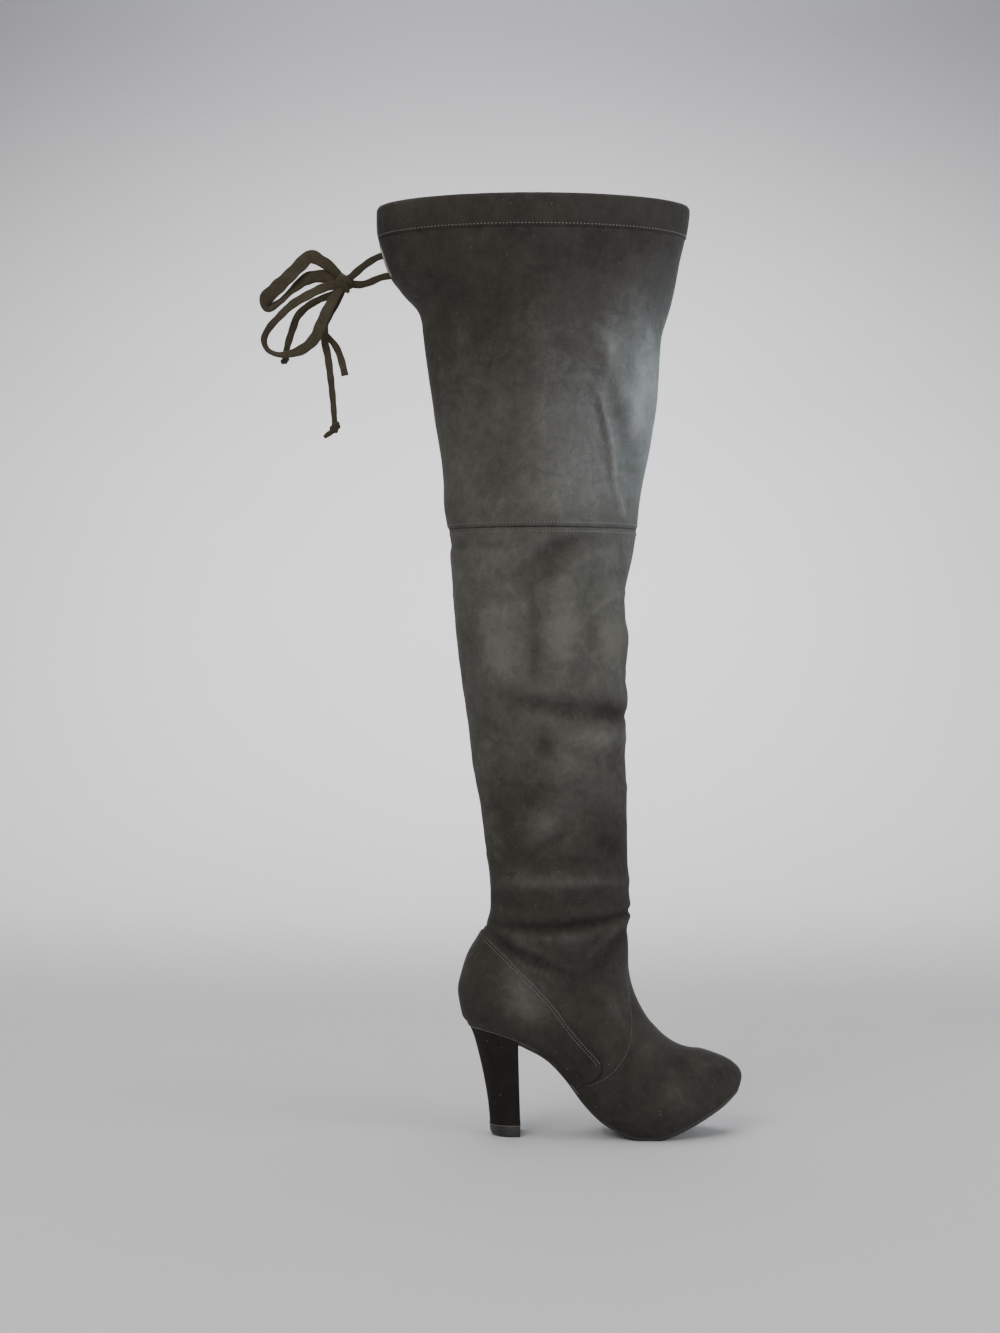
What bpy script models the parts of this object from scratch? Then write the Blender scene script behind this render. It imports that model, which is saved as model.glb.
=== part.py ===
"""Thigh high boot for the right foot, with a covered block heel and a tied drawstring collar.

Metres, +Z up, toe towards +X, outer side of the foot towards -Y.
The origin is the middle of the heel's flat face on the floor.
"""

import math

import bmesh
import bpy
import numpy as np

# Foot and sole sizes
FOOT_LENGTH = 0.230
HEEL_BACK = -0.0375
BALL_WIDTH = 0.084
HEEL_HEIGHT = 0.0857
TOE_SPRING = 0.0357
INSTEP_HEIGHT = 0.100
OUTSOLE_THICKNESS = 0.003
OUTSOLE_INSET = 0.0010
PLATFORM_HEIGHT = 0.016
INSOLE_THICKNESS = 0.0025

# Leg sizes
KNEE_HEIGHT = 0.489
BOOT_HEIGHT = 0.750
HEEL_DEPTH = 0.1375
ANKLE_DEPTH = 0.110
ANKLE_WIDTH = 0.076
KNEE_DEPTH = 0.153
KNEE_WIDTH = 0.102
COLLAR_DEPTH = 0.2535
COLLAR_WIDTH = 0.130
CASING_HEIGHT = 0.0265
CASING_WALL = 0.0032
CASING_PUFF = 0.0009
SLIT_DEPTH = 0.064
SLIT_WIDTH = 0.010

# Heel sizes
HEEL_BREAST = 0.0095
HEEL_INSET = 0.0012
TIP_BACK = -0.0132
TIP_FRONT = 0.0115
TIP_WIDTH = 0.033
LIFT_HEIGHT = 0.009
LIFT_ROUNDING = 0.0050

# Walls and clearances
WALL = 0.0020
COUNTER_WALL = 0.0012
GAP = 0.0003
COUNTER_GAP = 0.00045
RIM_TRIM = 0.00005
CUTTER_REACH = 0.010
CUTTER_HALF = 0.070

# Bow sizes
CORD = 0.0036
LOOP_CORD = 0.0050
STRAND_CORD = 0.0040
KNOT_RADIUS = 0.0075
END_KNOT_RADIUS = 0.0035
SMALL_KNOT_RADIUS = 0.0027
KNOT_CENTRE = (-0.1310, 0.0, 0.6900)
COLLAR_CORNER = (-0.1045, 0.0, 0.7500)

# Line of the upper's lower edge, seen from the side.
# along: share of FOOT_LENGTH from the heel's back
# heel: share of HEEL_HEIGHT, spring: share of TOE_SPRING, added up as the height
SEAT_LINE = (
    # along, heel, spring
    (0.00, 1.000, 0.000),
    (0.08, 0.981, 0.000),
    (0.16, 0.924, 0.000),
    (0.24, 0.833, 0.000),
    (0.31, 0.720, 0.000),
    (0.37, 0.548, 0.000),
    (0.43, 0.331, 0.000),
    (0.49, 0.169, 0.000),
    (0.55, 0.070, 0.000),
    (0.60, 0.014, 0.000),
    (0.63, 0.000, 0.000),
    (0.69, 0.000, 0.000),
    (0.74, 0.000, 0.087),
    (0.80, 0.000, 0.255),
    (0.86, 0.000, 0.454),
    (0.92, 0.000, 0.678),
    (0.97, 0.000, 0.908),
    (1.00, 0.000, 1.040),
)

# Ribs of the foot, from the nose of the toe to the back of the heel seat.
# A rib climbs from the lower edge to the ridge of the vamp and instep.
# along, ridge: places of its foot and its top, shares of FOOT_LENGTH from the heel's back
# rise: height of its top over its foot, share of INSTEP_HEIGHT
# edge and side: half widths at the lower edge and at the widest, shares of half BALL_WIDTH
# widest: share of the climb where it is widest
# low, high: how square it is below and above the widest place, 1 for round
# nose: how far it bellies forward, share of FOOT_LENGTH
# swing: sideways shift to the big toe's side, share of half BALL_WIDTH
FOOT_RIBS = (
    # along, ridge, rise, edge_out, edge_in, side_out, side_in, widest, low, high, nose, swing
    (0.991, 0.965, 0.185, 0.000, 0.000, 0.000, 0.000, 0.36, 1.00, 0.80, 0.0174, 0.12),
    (0.986, 0.954, 0.211, 0.155, 0.155, 0.167, 0.167, 0.36, 1.00, 0.80, 0.0143, 0.12),
    (0.974, 0.937, 0.249, 0.286, 0.286, 0.310, 0.310, 0.36, 1.00, 0.80, 0.0096, 0.12),
    (0.954, 0.915, 0.302, 0.410, 0.410, 0.443, 0.443, 0.35, 1.00, 0.82, 0.0043, 0.11),
    (0.924, 0.885, 0.377, 0.536, 0.536, 0.586, 0.586, 0.34, 1.00, 0.84, 0.0013, 0.10),
    (0.885, 0.848, 0.458, 0.643, 0.643, 0.714, 0.714, 0.34, 1.00, 0.87, 0.0, 0.09),
    (0.837, 0.811, 0.529, 0.726, 0.726, 0.829, 0.829, 0.33, 1.00, 0.92, 0.0, 0.07),
    (0.780, 0.767, 0.625, 0.786, 0.786, 0.929, 0.929, 0.32, 1.00, 0.98, 0.0, 0.05),
    (0.735, 0.734, 0.712, 0.803, 0.790, 0.978, 0.978, 0.31, 1.00, 1.03, 0.0, 0.035),
    (0.690, 0.704, 0.797, 0.800, 0.765, 1.000, 0.995, 0.31, 1.00, 1.06, 0.0, 0.02),
    (0.630, 0.669, 0.892, 0.770, 0.712, 0.992, 0.978, 0.31, 1.00, 1.08, 0.0, 0.005),
    (0.575, 0.639, 0.971, 0.722, 0.652, 0.960, 0.942, 0.32, 1.00, 1.08, 0.0, 0.00),
    (0.524, 0.617, 1.014, 0.667, 0.595, 0.917, 0.905, 0.34, 1.00, 1.06, 0.0, -0.01),
    (0.459, 0.602, 1.005, 0.607, 0.536, 0.869, 0.857, 0.37, 1.00, 1.04, 0.0, -0.02),
    (0.393, 0.596, 0.920, 0.571, 0.500, 0.840, 0.833, 0.40, 1.00, 1.02, 0.0, -0.02),
    (0.328, 0.595, 0.820, 0.567, 0.500, 0.817, 0.817, 0.43, 0.98, 1.00, 0.0, -0.02),
    (0.263, 0.595, 0.785, 0.583, 0.548, 0.810, 0.810, 0.46, 0.94, 1.00, 0.0, -0.01),
    (0.198, 0.595, 0.775, 0.607, 0.595, 0.814, 0.814, 0.48, 0.88, 1.00, 0.0, 0.00),
    (0.133, 0.595, 0.775, 0.602, 0.602, 0.824, 0.824, 0.49, 0.82, 1.00, 0.0, 0.00),
    (0.083, 0.596, 0.797, 0.519, 0.519, 0.833, 0.833, 0.50, 0.80, 1.00, 0.0, 0.00),
    (0.050, 0.598, 0.837, 0.345, 0.345, 0.840, 0.840, 0.50, 0.81, 1.00, 0.0, 0.00),
    (0.035, 0.601, 0.883, 0.179, 0.179, 0.848, 0.848, 0.50, 0.82, 1.00, 0.0, 0.00),
    (0.030, 0.603, 0.932, 0.000, 0.000, 0.857, 0.857, 0.50, 0.82, 1.00, 0.0, 0.00),
)

# Rings of the lower leg, from over the heel seat to the knee seam.
# back and front: heights of its back and its front over the heel seat,
#   shares of the way from the seat to KNEE_HEIGHT
# centre: place of its middle, share of FOOT_LENGTH from the heel's back
# heel: share of the way from the ankle's depth to the heel's
# depth, width: shares of the way from the ankle's size to the knee's
# low, high: how square its back and its front are, 1 for round
LEG_RINGS = (
    # back, front, centre, heel, depth, width, low, high
    (0.019, 0.244, 0.310, 0.924, 0.000, -0.13, 0.82, 1.00),
    (0.047, 0.257, 0.303, 0.982, 0.000, -0.11, 0.82, 1.00),
    (0.072, 0.274, 0.299, 1.000, 0.000, -0.08, 0.82, 1.00),
    (0.099, 0.294, 0.303, 0.913, 0.000, -0.05, 0.82, 1.00),
    (0.144, 0.319, 0.314, 0.662, 0.000, -0.02, 0.82, 1.00),
    (0.189, 0.347, 0.336, 0.247, 0.000, 0.00, 0.82, 1.00),
    (0.227, 0.375, 0.348, 0.033, 0.000, 0.02, 0.83, 1.00),
    (0.267, 0.405, 0.348, 0.000, 0.002, 0.05, 0.84, 1.00),
    (0.310, 0.440, 0.344, 0.000, 0.026, 0.09, 0.87, 1.00),
    (0.372, 0.487, 0.338, 0.000, 0.081, 0.17, 0.90, 1.00),
    (0.452, 0.547, 0.327, 0.000, 0.193, 0.31, 0.92, 1.00),
    (0.527, 0.602, 0.317, 0.000, 0.337, 0.45, 0.94, 1.00),
    (0.605, 0.657, 0.310, 0.000, 0.463, 0.58, 0.96, 1.00),
    (0.682, 0.707, 0.297, 0.000, 0.500, 0.68, 0.97, 1.00),
    (0.767, 0.777, 0.294, 0.000, 0.670, 0.80, 0.98, 1.00),
    (0.830, 0.827, 0.283, 0.000, 0.677, 0.86, 0.99, 1.00),
    (0.882, 0.877, 0.279, 0.000, 0.712, 0.91, 1.00, 1.00),
    (0.942, 0.937, 0.286, 0.000, 0.888, 0.97, 1.00, 1.00),
    (0.986, 0.986, 0.293, 0.000, 0.951, 0.99, 1.00, 1.00),
    (1.000, 1.000, 0.292, 0.000, 1.000, 1.00, 1.00, 1.00),
)

# Level rings of the thigh, from the knee seam to the rim.
# height: share of the way from KNEE_HEIGHT to BOOT_HEIGHT
# centre: share of FOOT_LENGTH from the heel's back
# depth, width: shares of the way from the knee's size to the collar's
THIGH_RINGS = (
    # height, centre, depth, width
    (0.000, 0.292, 0.000, 0.00),
    (0.061, 0.288, 0.046, 0.07),
    (0.149, 0.294, 0.088, 0.14),
    (0.260, 0.300, 0.176, 0.29),
    (0.375, 0.300, 0.273, 0.43),
    (0.471, 0.294, 0.330, 0.52),
    (0.548, 0.291, 0.367, 0.61),
    (0.609, 0.293, 0.404, 0.68),
    (0.655, 0.299, 0.458, 0.73),
    (0.693, 0.297, 0.531, 0.77),
    (0.730, 0.281, 0.650, 0.81),
    (0.770, 0.265, 0.766, 0.84),
    (0.847, 0.253, 0.891, 0.91),
    (0.898, 0.254, 0.946, 0.95),
    (1.000, 0.260, 1.000, 1.00),
)

# Height of the platform over the upper's lower edge.
# along: share of FOOT_LENGTH from the heel's back, height: share of PLATFORM_HEIGHT
PLATFORM_LINE = (
    # along, height
    (0.46, 0.06),
    (0.52, 0.30),
    (0.58, 0.72),
    (0.64, 1.00),
    (0.74, 1.00),
    (0.84, 0.80),
    (0.94, 0.60),
    (1.00, 0.50),
)

# Edge of the counter, from the back of the heel to the waist.
# along: share of FOOT_LENGTH from the heel's back
# rise: height over the upper's lower edge, share of INSTEP_HEIGHT
COUNTER_LINE = (
    # along, rise
    (0.06, 0.80),
    (0.11, 0.74),
    (0.16, 0.68),
    (0.22, 0.60),
    (0.28, 0.54),
    (0.34, 0.50),
    (0.38, 0.48),
    (0.42, 0.49),
    (0.465, 0.49),
    (0.492, 0.465),
    (0.492, 0.41),
    (0.467, 0.33),
    (0.432, 0.20),
    (0.395, 0.05),
    (0.375, -0.08),
)

# Rows of the top lift's back corner, worn round towards the floor.
# height: share of LIFT_HEIGHT, inset: share of LIFT_ROUNDING
LIFT_ROWS = (
    # height, inset
    (0.00, 1.00),
    (0.08, 0.60),
    (0.25, 0.22),
    (0.50, 0.00),
    (1.00, 0.00),
)

# Routes of the bow's cords, chosen by hand for a collar whose back corner is at COLLAR_CORNER,
# as KNOT_CENTRE is too.
LOWER_LOOP = (
    (-0.1480, -0.0060, 0.6850),
    (-0.1600, -0.0070, 0.6790),
    (-0.1720, -0.0070, 0.6720),
    (-0.1840, -0.0065, 0.6610),
    (-0.1920, -0.0060, 0.6520),
    (-0.1960, -0.0055, 0.6430),
    (-0.1935, -0.0050, 0.6355),
    (-0.1860, -0.0045, 0.6315),
    (-0.1750, -0.0040, 0.6320),
    (-0.1660, -0.0040, 0.6350),
    (-0.1560, -0.0045, 0.6430),
    (-0.1500, -0.0050, 0.6550),
    (-0.1450, -0.0050, 0.6665),
    (-0.1390, -0.0040, 0.6780),
)
UPPER_LOOP = (
    (-0.1400, 0.0010, 0.7010),
    (-0.1490, 0.0020, 0.7090),
    (-0.1590, 0.0025, 0.7145),
    (-0.1680, 0.0030, 0.7070),
    (-0.1770, 0.0030, 0.6975),
    (-0.1880, 0.0030, 0.6860),
    (-0.1955, 0.0030, 0.6760),
    (-0.1940, 0.0035, 0.6705),
    (-0.1860, 0.0040, 0.6705),
    (-0.1740, 0.0045, 0.6760),
    (-0.1600, 0.0055, 0.6850),
    (-0.1480, 0.0055, 0.6910),
)
INNER_END = (
    (-0.1400, 0.0080, 0.6830),
    (-0.1520, 0.0080, 0.6780),
    (-0.1620, 0.0070, 0.6720),
    (-0.1700, 0.0060, 0.6635),
    (-0.1735, 0.0055, 0.6540),
    (-0.1770, 0.0050, 0.6430),
    (-0.1790, 0.0050, 0.6350),
)
HANGING_END = (
    (-0.1360, 0.0060, 0.6790),
    (-0.1430, 0.0075, 0.6670),
    (-0.1480, 0.0075, 0.6560),
    (-0.1480, 0.0065, 0.6460),
    (-0.1455, 0.0055, 0.6340),
    (-0.1430, 0.0045, 0.6160),
    (-0.1408, 0.0040, 0.5960),
    (-0.1394, 0.0035, 0.5780),
)
SHORT_END = (
    (-0.1443, 0.0063, 0.6460),
    (-0.1400, 0.0060, 0.6415),
    (-0.1360, 0.0055, 0.6340),
    (-0.1332, 0.0050, 0.6250),
    (-0.1310, 0.0045, 0.6155),
)
OUTER_STRAND = (
    (-0.0960, -0.0014, 0.7125),
    (-0.1020, -0.0015, 0.7115),
    (-0.1080, -0.0018, 0.7085),
    (-0.1140, -0.0022, 0.7045),
    (-0.1200, -0.0024, 0.6995),
)
INNER_STRAND = (
    (-0.0930, 0.0014, 0.6960),
    (-0.0990, 0.0015, 0.6955),
    (-0.1050, 0.0018, 0.6935),
    (-0.1120, 0.0022, 0.6905),
    (-0.1190, 0.0024, 0.6890),
)

# How finely the surfaces are cut
FOOT_STRIPS = 10
THIGH_STRIPS = 12

SUEDE = (0.048, 0.045, 0.041)
SUEDE_DARK = (0.036, 0.033, 0.030)
RUBBER = (0.016, 0.014, 0.013)
LINING = (0.020, 0.019, 0.018)
CORD_SUEDE = (0.042, 0.037, 0.032)


def through(knots, values, at):
    """Values on a smooth curve through a table's rows; a run of equal values stays flat."""
    knots = np.asarray(knots, float)
    values = np.asarray(values, float)
    at = np.clip(np.asarray(at, float), knots[0], knots[-1])
    gaps = np.diff(knots)
    gaps = gaps.reshape(gaps.shape + (1,) * (values.ndim - 1))
    climbs = np.diff(values, axis=0) / gaps
    slopes = np.zeros_like(values)
    slopes[0] = climbs[0]
    slopes[-1] = climbs[-1]
    mean = (climbs[:-1] * gaps[1:] + climbs[1:] * gaps[:-1]) / (gaps[1:] + gaps[:-1])
    slopes[1:-1] = np.where(climbs[1:] * climbs[:-1] == 0, 0, mean)
    row = np.clip(np.searchsorted(knots, at, side="right") - 1, 0, len(knots) - 2)
    gap = (knots[row + 1] - knots[row]).reshape(at.shape + (1,) * (values.ndim - 1))
    t = (at - knots[row]).reshape(gap.shape) / gap
    start = (1 + 2 * t) * (1 - t) ** 2 * values[row] + t * (1 - t) ** 2 * gap * slopes[row]
    end = t * t * (3 - 2 * t) * values[row + 1] + t * t * (t - 1) * gap * slopes[row + 1]
    return start + end


def seat_height(x):
    """Height of the upper's lower edge at x."""
    table = np.array(SEAT_LINE)
    shares = through(table[:, 0], table[:, 1:], (x - HEEL_BACK) / FOOT_LENGTH)
    under = shares[..., 0] * HEEL_HEIGHT + shares[..., 1] * TOE_SPRING
    return under + OUTSOLE_THICKNESS + GAP


def edge_height(x):
    """Height of the upper's lower edge at x as it is built, straight between its ribs."""
    columns = foot_columns()[::-1]
    return np.interp(x, columns[:, 0], columns[:, 1])


def places(start, end):
    """The ribs' places between two ends, with the ends, so that neighbours share them."""
    x = foot_columns()[::-1, 0]
    return np.concatenate([[start], x[(x > start + WALL) & (x < end - WALL)], [end]])


def platform_top(x):
    """Height of the platform's top at x."""
    table = np.array(PLATFORM_LINE)
    share = through(table[:, 0], table[:, 1], (x - HEEL_BACK) / FOOT_LENGTH)
    return edge_height(x) + share * PLATFORM_HEIGHT


def foot_columns():
    """The foot's ribs in metres.

    Columns: foot x, foot z, top x, top z, edge out, edge in, side out, side in,
    widest, low, high, nose, swing.
    """
    t = np.array(FOOT_RIBS).T
    half = BALL_WIDTH / 2
    foot_x = HEEL_BACK + t[0] * FOOT_LENGTH
    foot_z = seat_height(foot_x)
    top_x = HEEL_BACK + t[1] * FOOT_LENGTH
    top_z = foot_z + t[2] * INSTEP_HEIGHT
    widths = t[3:7] * half
    shapes = t[7:10]
    return np.array([foot_x, foot_z, top_x, top_z, *widths, *shapes, t[10] * FOOT_LENGTH, t[11] * half]).T


def leg_columns():
    """The lower leg's rings in metres, in the same columns as the foot's ribs."""
    t = np.array(LEG_RINGS).T
    seat = HEEL_HEIGHT + OUTSOLE_THICKNESS + GAP
    back_z = seat + t[0] * (KNEE_HEIGHT - seat)
    front_z = seat + t[1] * (KNEE_HEIGHT - seat)
    centre = HEEL_BACK + t[2] * FOOT_LENGTH
    depth = ANKLE_DEPTH + t[3] * (HEEL_DEPTH - ANKLE_DEPTH) + t[4] * (KNEE_DEPTH - ANKLE_DEPTH)
    side = (ANKLE_WIDTH + t[5] * (KNEE_WIDTH - ANKLE_WIDTH)) / 2
    none = np.zeros_like(side)
    middle = np.full_like(side, 0.5)
    return np.array([
        centre - depth / 2, back_z, centre + depth / 2, front_z, none, none,
        side, side, middle, t[6], t[7], none, none,
    ]).T


def slit_half_width(z):
    """Half width of the slit at the back of the collar, with a round lower end."""
    bottom = BOOT_HEIGHT - SLIT_DEPTH
    up = np.clip((z - bottom) / (SLIT_WIDTH / 2), 0, 1)
    return SLIT_WIDTH / 2 * np.sqrt(1 - (1 - up) ** 2)


def thigh_columns(z):
    """The thigh's level rings at heights z, in the same columns as the foot's ribs."""
    table = np.array(THIGH_RINGS)
    heights = KNEE_HEIGHT + table[:, 0] * (BOOT_HEIGHT - KNEE_HEIGHT)
    shares = through(heights, table[:, 1:], z)
    centre = HEEL_BACK + shares[:, 0] * FOOT_LENGTH
    depth = KNEE_DEPTH + shares[:, 1] * (COLLAR_DEPTH - KNEE_DEPTH)
    side = (KNEE_WIDTH + shares[:, 2] * (COLLAR_WIDTH - KNEE_WIDTH)) / 2
    slit = slit_half_width(z)
    none = np.zeros_like(side)
    one = np.ones_like(side)
    return np.array([
        centre - depth / 2, z, centre + depth / 2, z, slit, slit,
        side, side, one / 2, one, one, none, none,
    ]).T


def ribs(columns, strips, out=None):
    """Points on each rib, from the outer lower edge over the top to the inner lower edge.

    Round the rib an angle runs from the lower edge to half a turn at the top. The half
    width is the sine of it, and the climb from foot to top follows its cosine.
    """
    c = [column[:, None] for column in columns.T]
    foot_x, foot_z, top_x, top_z, edge_out, edge_in, side_out, side_in = c[:8]
    widest, low, high, nose, swing = c[8:]
    v = np.linspace(-1, 1, 2 * strips + 1)[None, :]
    edge = np.where(v < 0, edge_out, edge_in)
    side = np.where(v < 0, side_out, side_in)
    share = np.divide(edge, side, out=np.zeros_like(edge), where=side > 0)
    first = np.arcsin(share ** (1 / low))
    angle = first + (math.pi - first) * (1 - np.abs(v))
    below = angle < math.pi / 2
    sine = np.clip(np.sin(angle), 0, 1)
    half = side * sine ** np.where(below, low, high)
    under = widest * (1 - np.cos(angle) / np.cos(first))
    over = widest - (1 - widest) * np.cos(angle)
    climb = np.where(below, under, over)
    run_x = top_x - foot_x
    run_z = top_z - foot_z
    length = np.hypot(run_x, run_z)
    belly = nose * 4 * climb * (1 - climb)
    x = foot_x + run_x * climb + belly * run_z / length
    y = swing + np.sign(v) * half
    z = foot_z + run_z * climb - belly * run_x / length
    if out is not None:
        x = x + out[:, None] * (2 * climb - 1)
        y = y + out[:, None] * np.sign(v) * sine
    return np.stack([x, y, z], axis=2)


def new_collection(name):
    collection = bpy.data.collections.new(name)
    bpy.context.scene.collection.children.link(collection)
    return collection


def material(name, colour, roughness, metallic=0.0):
    """A Principled material."""
    found = bpy.data.materials.new(name)
    found.use_nodes = True
    shader = found.node_tree.nodes["Principled BSDF"]
    shader.inputs["Base Color"].default_value = (*colour, 1)
    shader.inputs["Roughness"].default_value = roughness
    shader.inputs["Metallic"].default_value = metallic
    return found


def add_object(name, mesh, collection, finish=None):
    obj = bpy.data.objects.new(name, mesh)
    collection.objects.link(obj)
    if finish is not None:
        mesh.materials.append(finish)
        mesh.shade_smooth()
        mesh.set_sharp_from_angle(angle=math.radians(35))
    else:
        obj.hide_render = True
        obj.display_type = "WIRE"
    return obj


def mesh_of(name, form):
    mesh = bpy.data.meshes.new(name)
    form.to_mesh(mesh)
    form.free()
    return mesh


def sheet(points, move=0.0):
    """An open surface through rows of ribs, moved out along its normals."""
    form = bmesh.new()
    rows = [[form.verts.new(p) for p in row] for row in points]
    for row, above in zip(rows, rows[1:]):
        for i in range(len(row) - 1):
            form.faces.new((row[i], row[i + 1], above[i + 1], above[i]))
    bmesh.ops.remove_doubles(form, verts=form.verts[:], dist=1e-6)
    bmesh.ops.triangulate(form, faces=form.faces[:], quad_method="SHORT_EDGE")
    form.normal_update()
    if move:
        places = [vert.co + vert.normal * move for vert in form.verts]
        for vert, place in zip(form.verts[:], places):
            vert.co = place
    return form


def shell(name, points, wall, collection, finish, move=0.0, outwards=False):
    """A wall of even thickness on a surface."""
    obj = add_object(name, mesh_of(name, sheet(points, move)), collection, finish)
    solidify = obj.modifiers.new("Wall", "SOLIDIFY")
    solidify.thickness = wall
    solidify.offset = 1 if outwards else -1
    return obj


def block(name, levels, collection, finish=None):
    """A solid of stacked outlines: levels[level][side][station] is a point.

    The two sides of an outline run together, and straight strips cross from one to the
    other at the top and at the bottom.
    """
    form = bmesh.new()
    levels = np.asarray(levels, float)
    count = levels.shape[2]
    rings = []
    for outer, inner in levels:
        rings.append([form.verts.new(p) for p in (*outer, *inner[::-1])])
    for ring, above in zip(rings, rings[1:]):
        for i in range(2 * count):
            j = (i + 1) % (2 * count)
            form.faces.new((ring[i], ring[j], above[j], above[i]))
    for ring in (rings[0], rings[-1]):
        for i in range(count - 1):
            form.faces.new((ring[i], ring[i + 1], ring[-2 - i], ring[-1 - i]))
    bmesh.ops.remove_doubles(form, verts=form.verts[:], dist=1e-6)
    bmesh.ops.recalc_face_normals(form, faces=form.faces[:])
    return add_object(name, mesh_of(name, form), collection, finish)


def boolean(obj, operation, cutter):
    cut = obj.modifiers.new("Cut", "BOOLEAN")
    cut.operation = operation
    cut.object = cutter
    return obj


def foot_outline(start, end, inset):
    """The lower edge's outline between two places, moved in: outer and inner points, flat."""
    columns = foot_columns()
    ribs_at = np.arange(len(columns))
    rows = np.arange(0, len(columns) - 0.5, 0.5)
    x = through(ribs_at, columns[:, 0], rows)
    first, last = np.interp([-end, -start], -x, rows)
    rows = np.concatenate([[first], rows[(rows > first) & (rows < last)], [last]])
    c = through(ribs_at, columns, rows)
    outer = np.stack([c[:, 0], c[:, 12] - c[:, 4]], axis=1)
    inner = np.stack([c[:, 0], c[:, 12] + c[:, 5]], axis=1)
    sides = []
    for line, turn in ((outer, 1), (inner, -1)):
        run = np.gradient(line, axis=0)
        run /= np.linalg.norm(run, axis=1)[:, None]
        sides.append(line + inset * turn * np.stack([run[:, 1], -run[:, 0]], axis=1))
    return np.array(sides)


def joined_ends(sides, toe=False, heel=False):
    """The outline with its two sides brought together at the toe or the heel."""
    for joined, i in ((toe, 0), (heel, -1)):
        if joined:
            sides[:, i] = sides[:, i].mean(axis=0)
    return sides


def at_height(flat, heights):
    """Flat outline points with their heights."""
    return np.concatenate([flat, heights[..., None]], axis=2)


def make_outsole(collection, finish):
    flat = joined_ends(foot_outline(HEEL_BREAST + GAP, 1, OUTSOLE_INSET), toe=True)
    top = edge_height(flat[..., 0]) - GAP
    return block("outsole", [at_height(flat, top - OUTSOLE_THICKNESS), at_height(flat, top)], collection, finish)


def make_core(guides):
    """The room inside the foot's wall, as a closed guide."""
    columns = np.concatenate([foot_columns(), leg_columns()[:8]])
    points = ribs(columns, FOOT_STRIPS)
    form = sheet(points, -(WALL + GAP))
    loops = {}
    for edge in form.edges:
        if edge.is_boundary:
            for vert in edge.verts:
                loops.setdefault(vert, []).append(edge.other_vert(vert))
    sole = max(loops, key=lambda vert: vert.co.x)
    leg = max(loops, key=lambda vert: vert.co.z)
    form.faces.new(around_rim(loops, leg))
    rim = around_rim(loops, sole)
    deep = []
    for vert in rim:
        bottom = float(edge_height(vert.co.x)) - OUTSOLE_THICKNESS
        deep.append(form.verts.new((vert.co.x, vert.co.y, bottom)))
    for i in range(len(rim)):
        form.faces.new((rim[i - 1], rim[i], deep[i], deep[i - 1]))
    for i in range(len(deep) // 2):
        corners = (deep[i], deep[i + 1], deep[-i - 1], deep[-i])
        form.faces.new(dict.fromkeys(corners))
    bmesh.ops.recalc_face_normals(form, faces=form.faces[:])
    return add_object("foot_room", mesh_of("foot_room", form), guides)


def around_rim(loops, start):
    """The points of a rim in order, from one of them."""
    around = [start, loops[start][0]]
    while loops[around[-1]][0] is not start and loops[around[-1]][1] is not start or len(around) < 3:
        around.append(next(v for v in loops[around[-1]] if v is not around[-2]))
    return around


def slab(name, x, bottom, top, collection, finish):
    """A wide plate between two lines seen from the side."""
    flat = np.array([np.stack([x, np.full_like(x, side * CUTTER_HALF)], axis=1) for side in (-1, 1)])
    return block(name, [at_height(flat, np.stack([z, z])) for z in (bottom, top)], collection, finish)


def make_platform(collection, core, finish):
    start = HEEL_BACK + PLATFORM_LINE[0][0] * FOOT_LENGTH
    x = places(start, HEEL_BACK + 1.02 * FOOT_LENGTH)
    return boolean(slab("platform", x, edge_height(x), platform_top(x), collection, finish), "INTERSECT", core)


def make_insole(collection, core, finish):
    """A board over the heel seat and the waist that steps up onto the platform."""
    start = HEEL_BACK + PLATFORM_LINE[0][0] * FOOT_LENGTH
    rear = places(HEEL_BACK - CUTTER_REACH, start - 2 * INSOLE_THICKNESS)
    fore = places(start, HEEL_BACK + 1.02 * FOOT_LENGTH)
    under = np.concatenate([edge_height(rear), platform_top(fore) + GAP])
    x = np.concatenate([rear, fore])
    return boolean(slab("insole", x, under, under + INSOLE_THICKNESS, collection, finish), "INTERSECT", core)


def make_upper(collection, guides, finish):
    """The foot and lower leg as one hollow wall, with its lower rim trimmed to the edge line."""
    leg = leg_columns()
    leg[-1, [1, 3]] -= GAP / 2
    points = ribs(np.concatenate([foot_columns(), leg]), FOOT_STRIPS)
    wall = shell("upper", points, WALL, collection, finish)
    x = places(HEEL_BACK - CUTTER_REACH, HEEL_BACK + 1.02 * FOOT_LENGTH)
    trim = slab("rim_trim", x, np.full_like(x, -CUTTER_REACH), edge_height(x) - RIM_TRIM, guides, None)
    return boolean(wall, "DIFFERENCE", trim)


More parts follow.
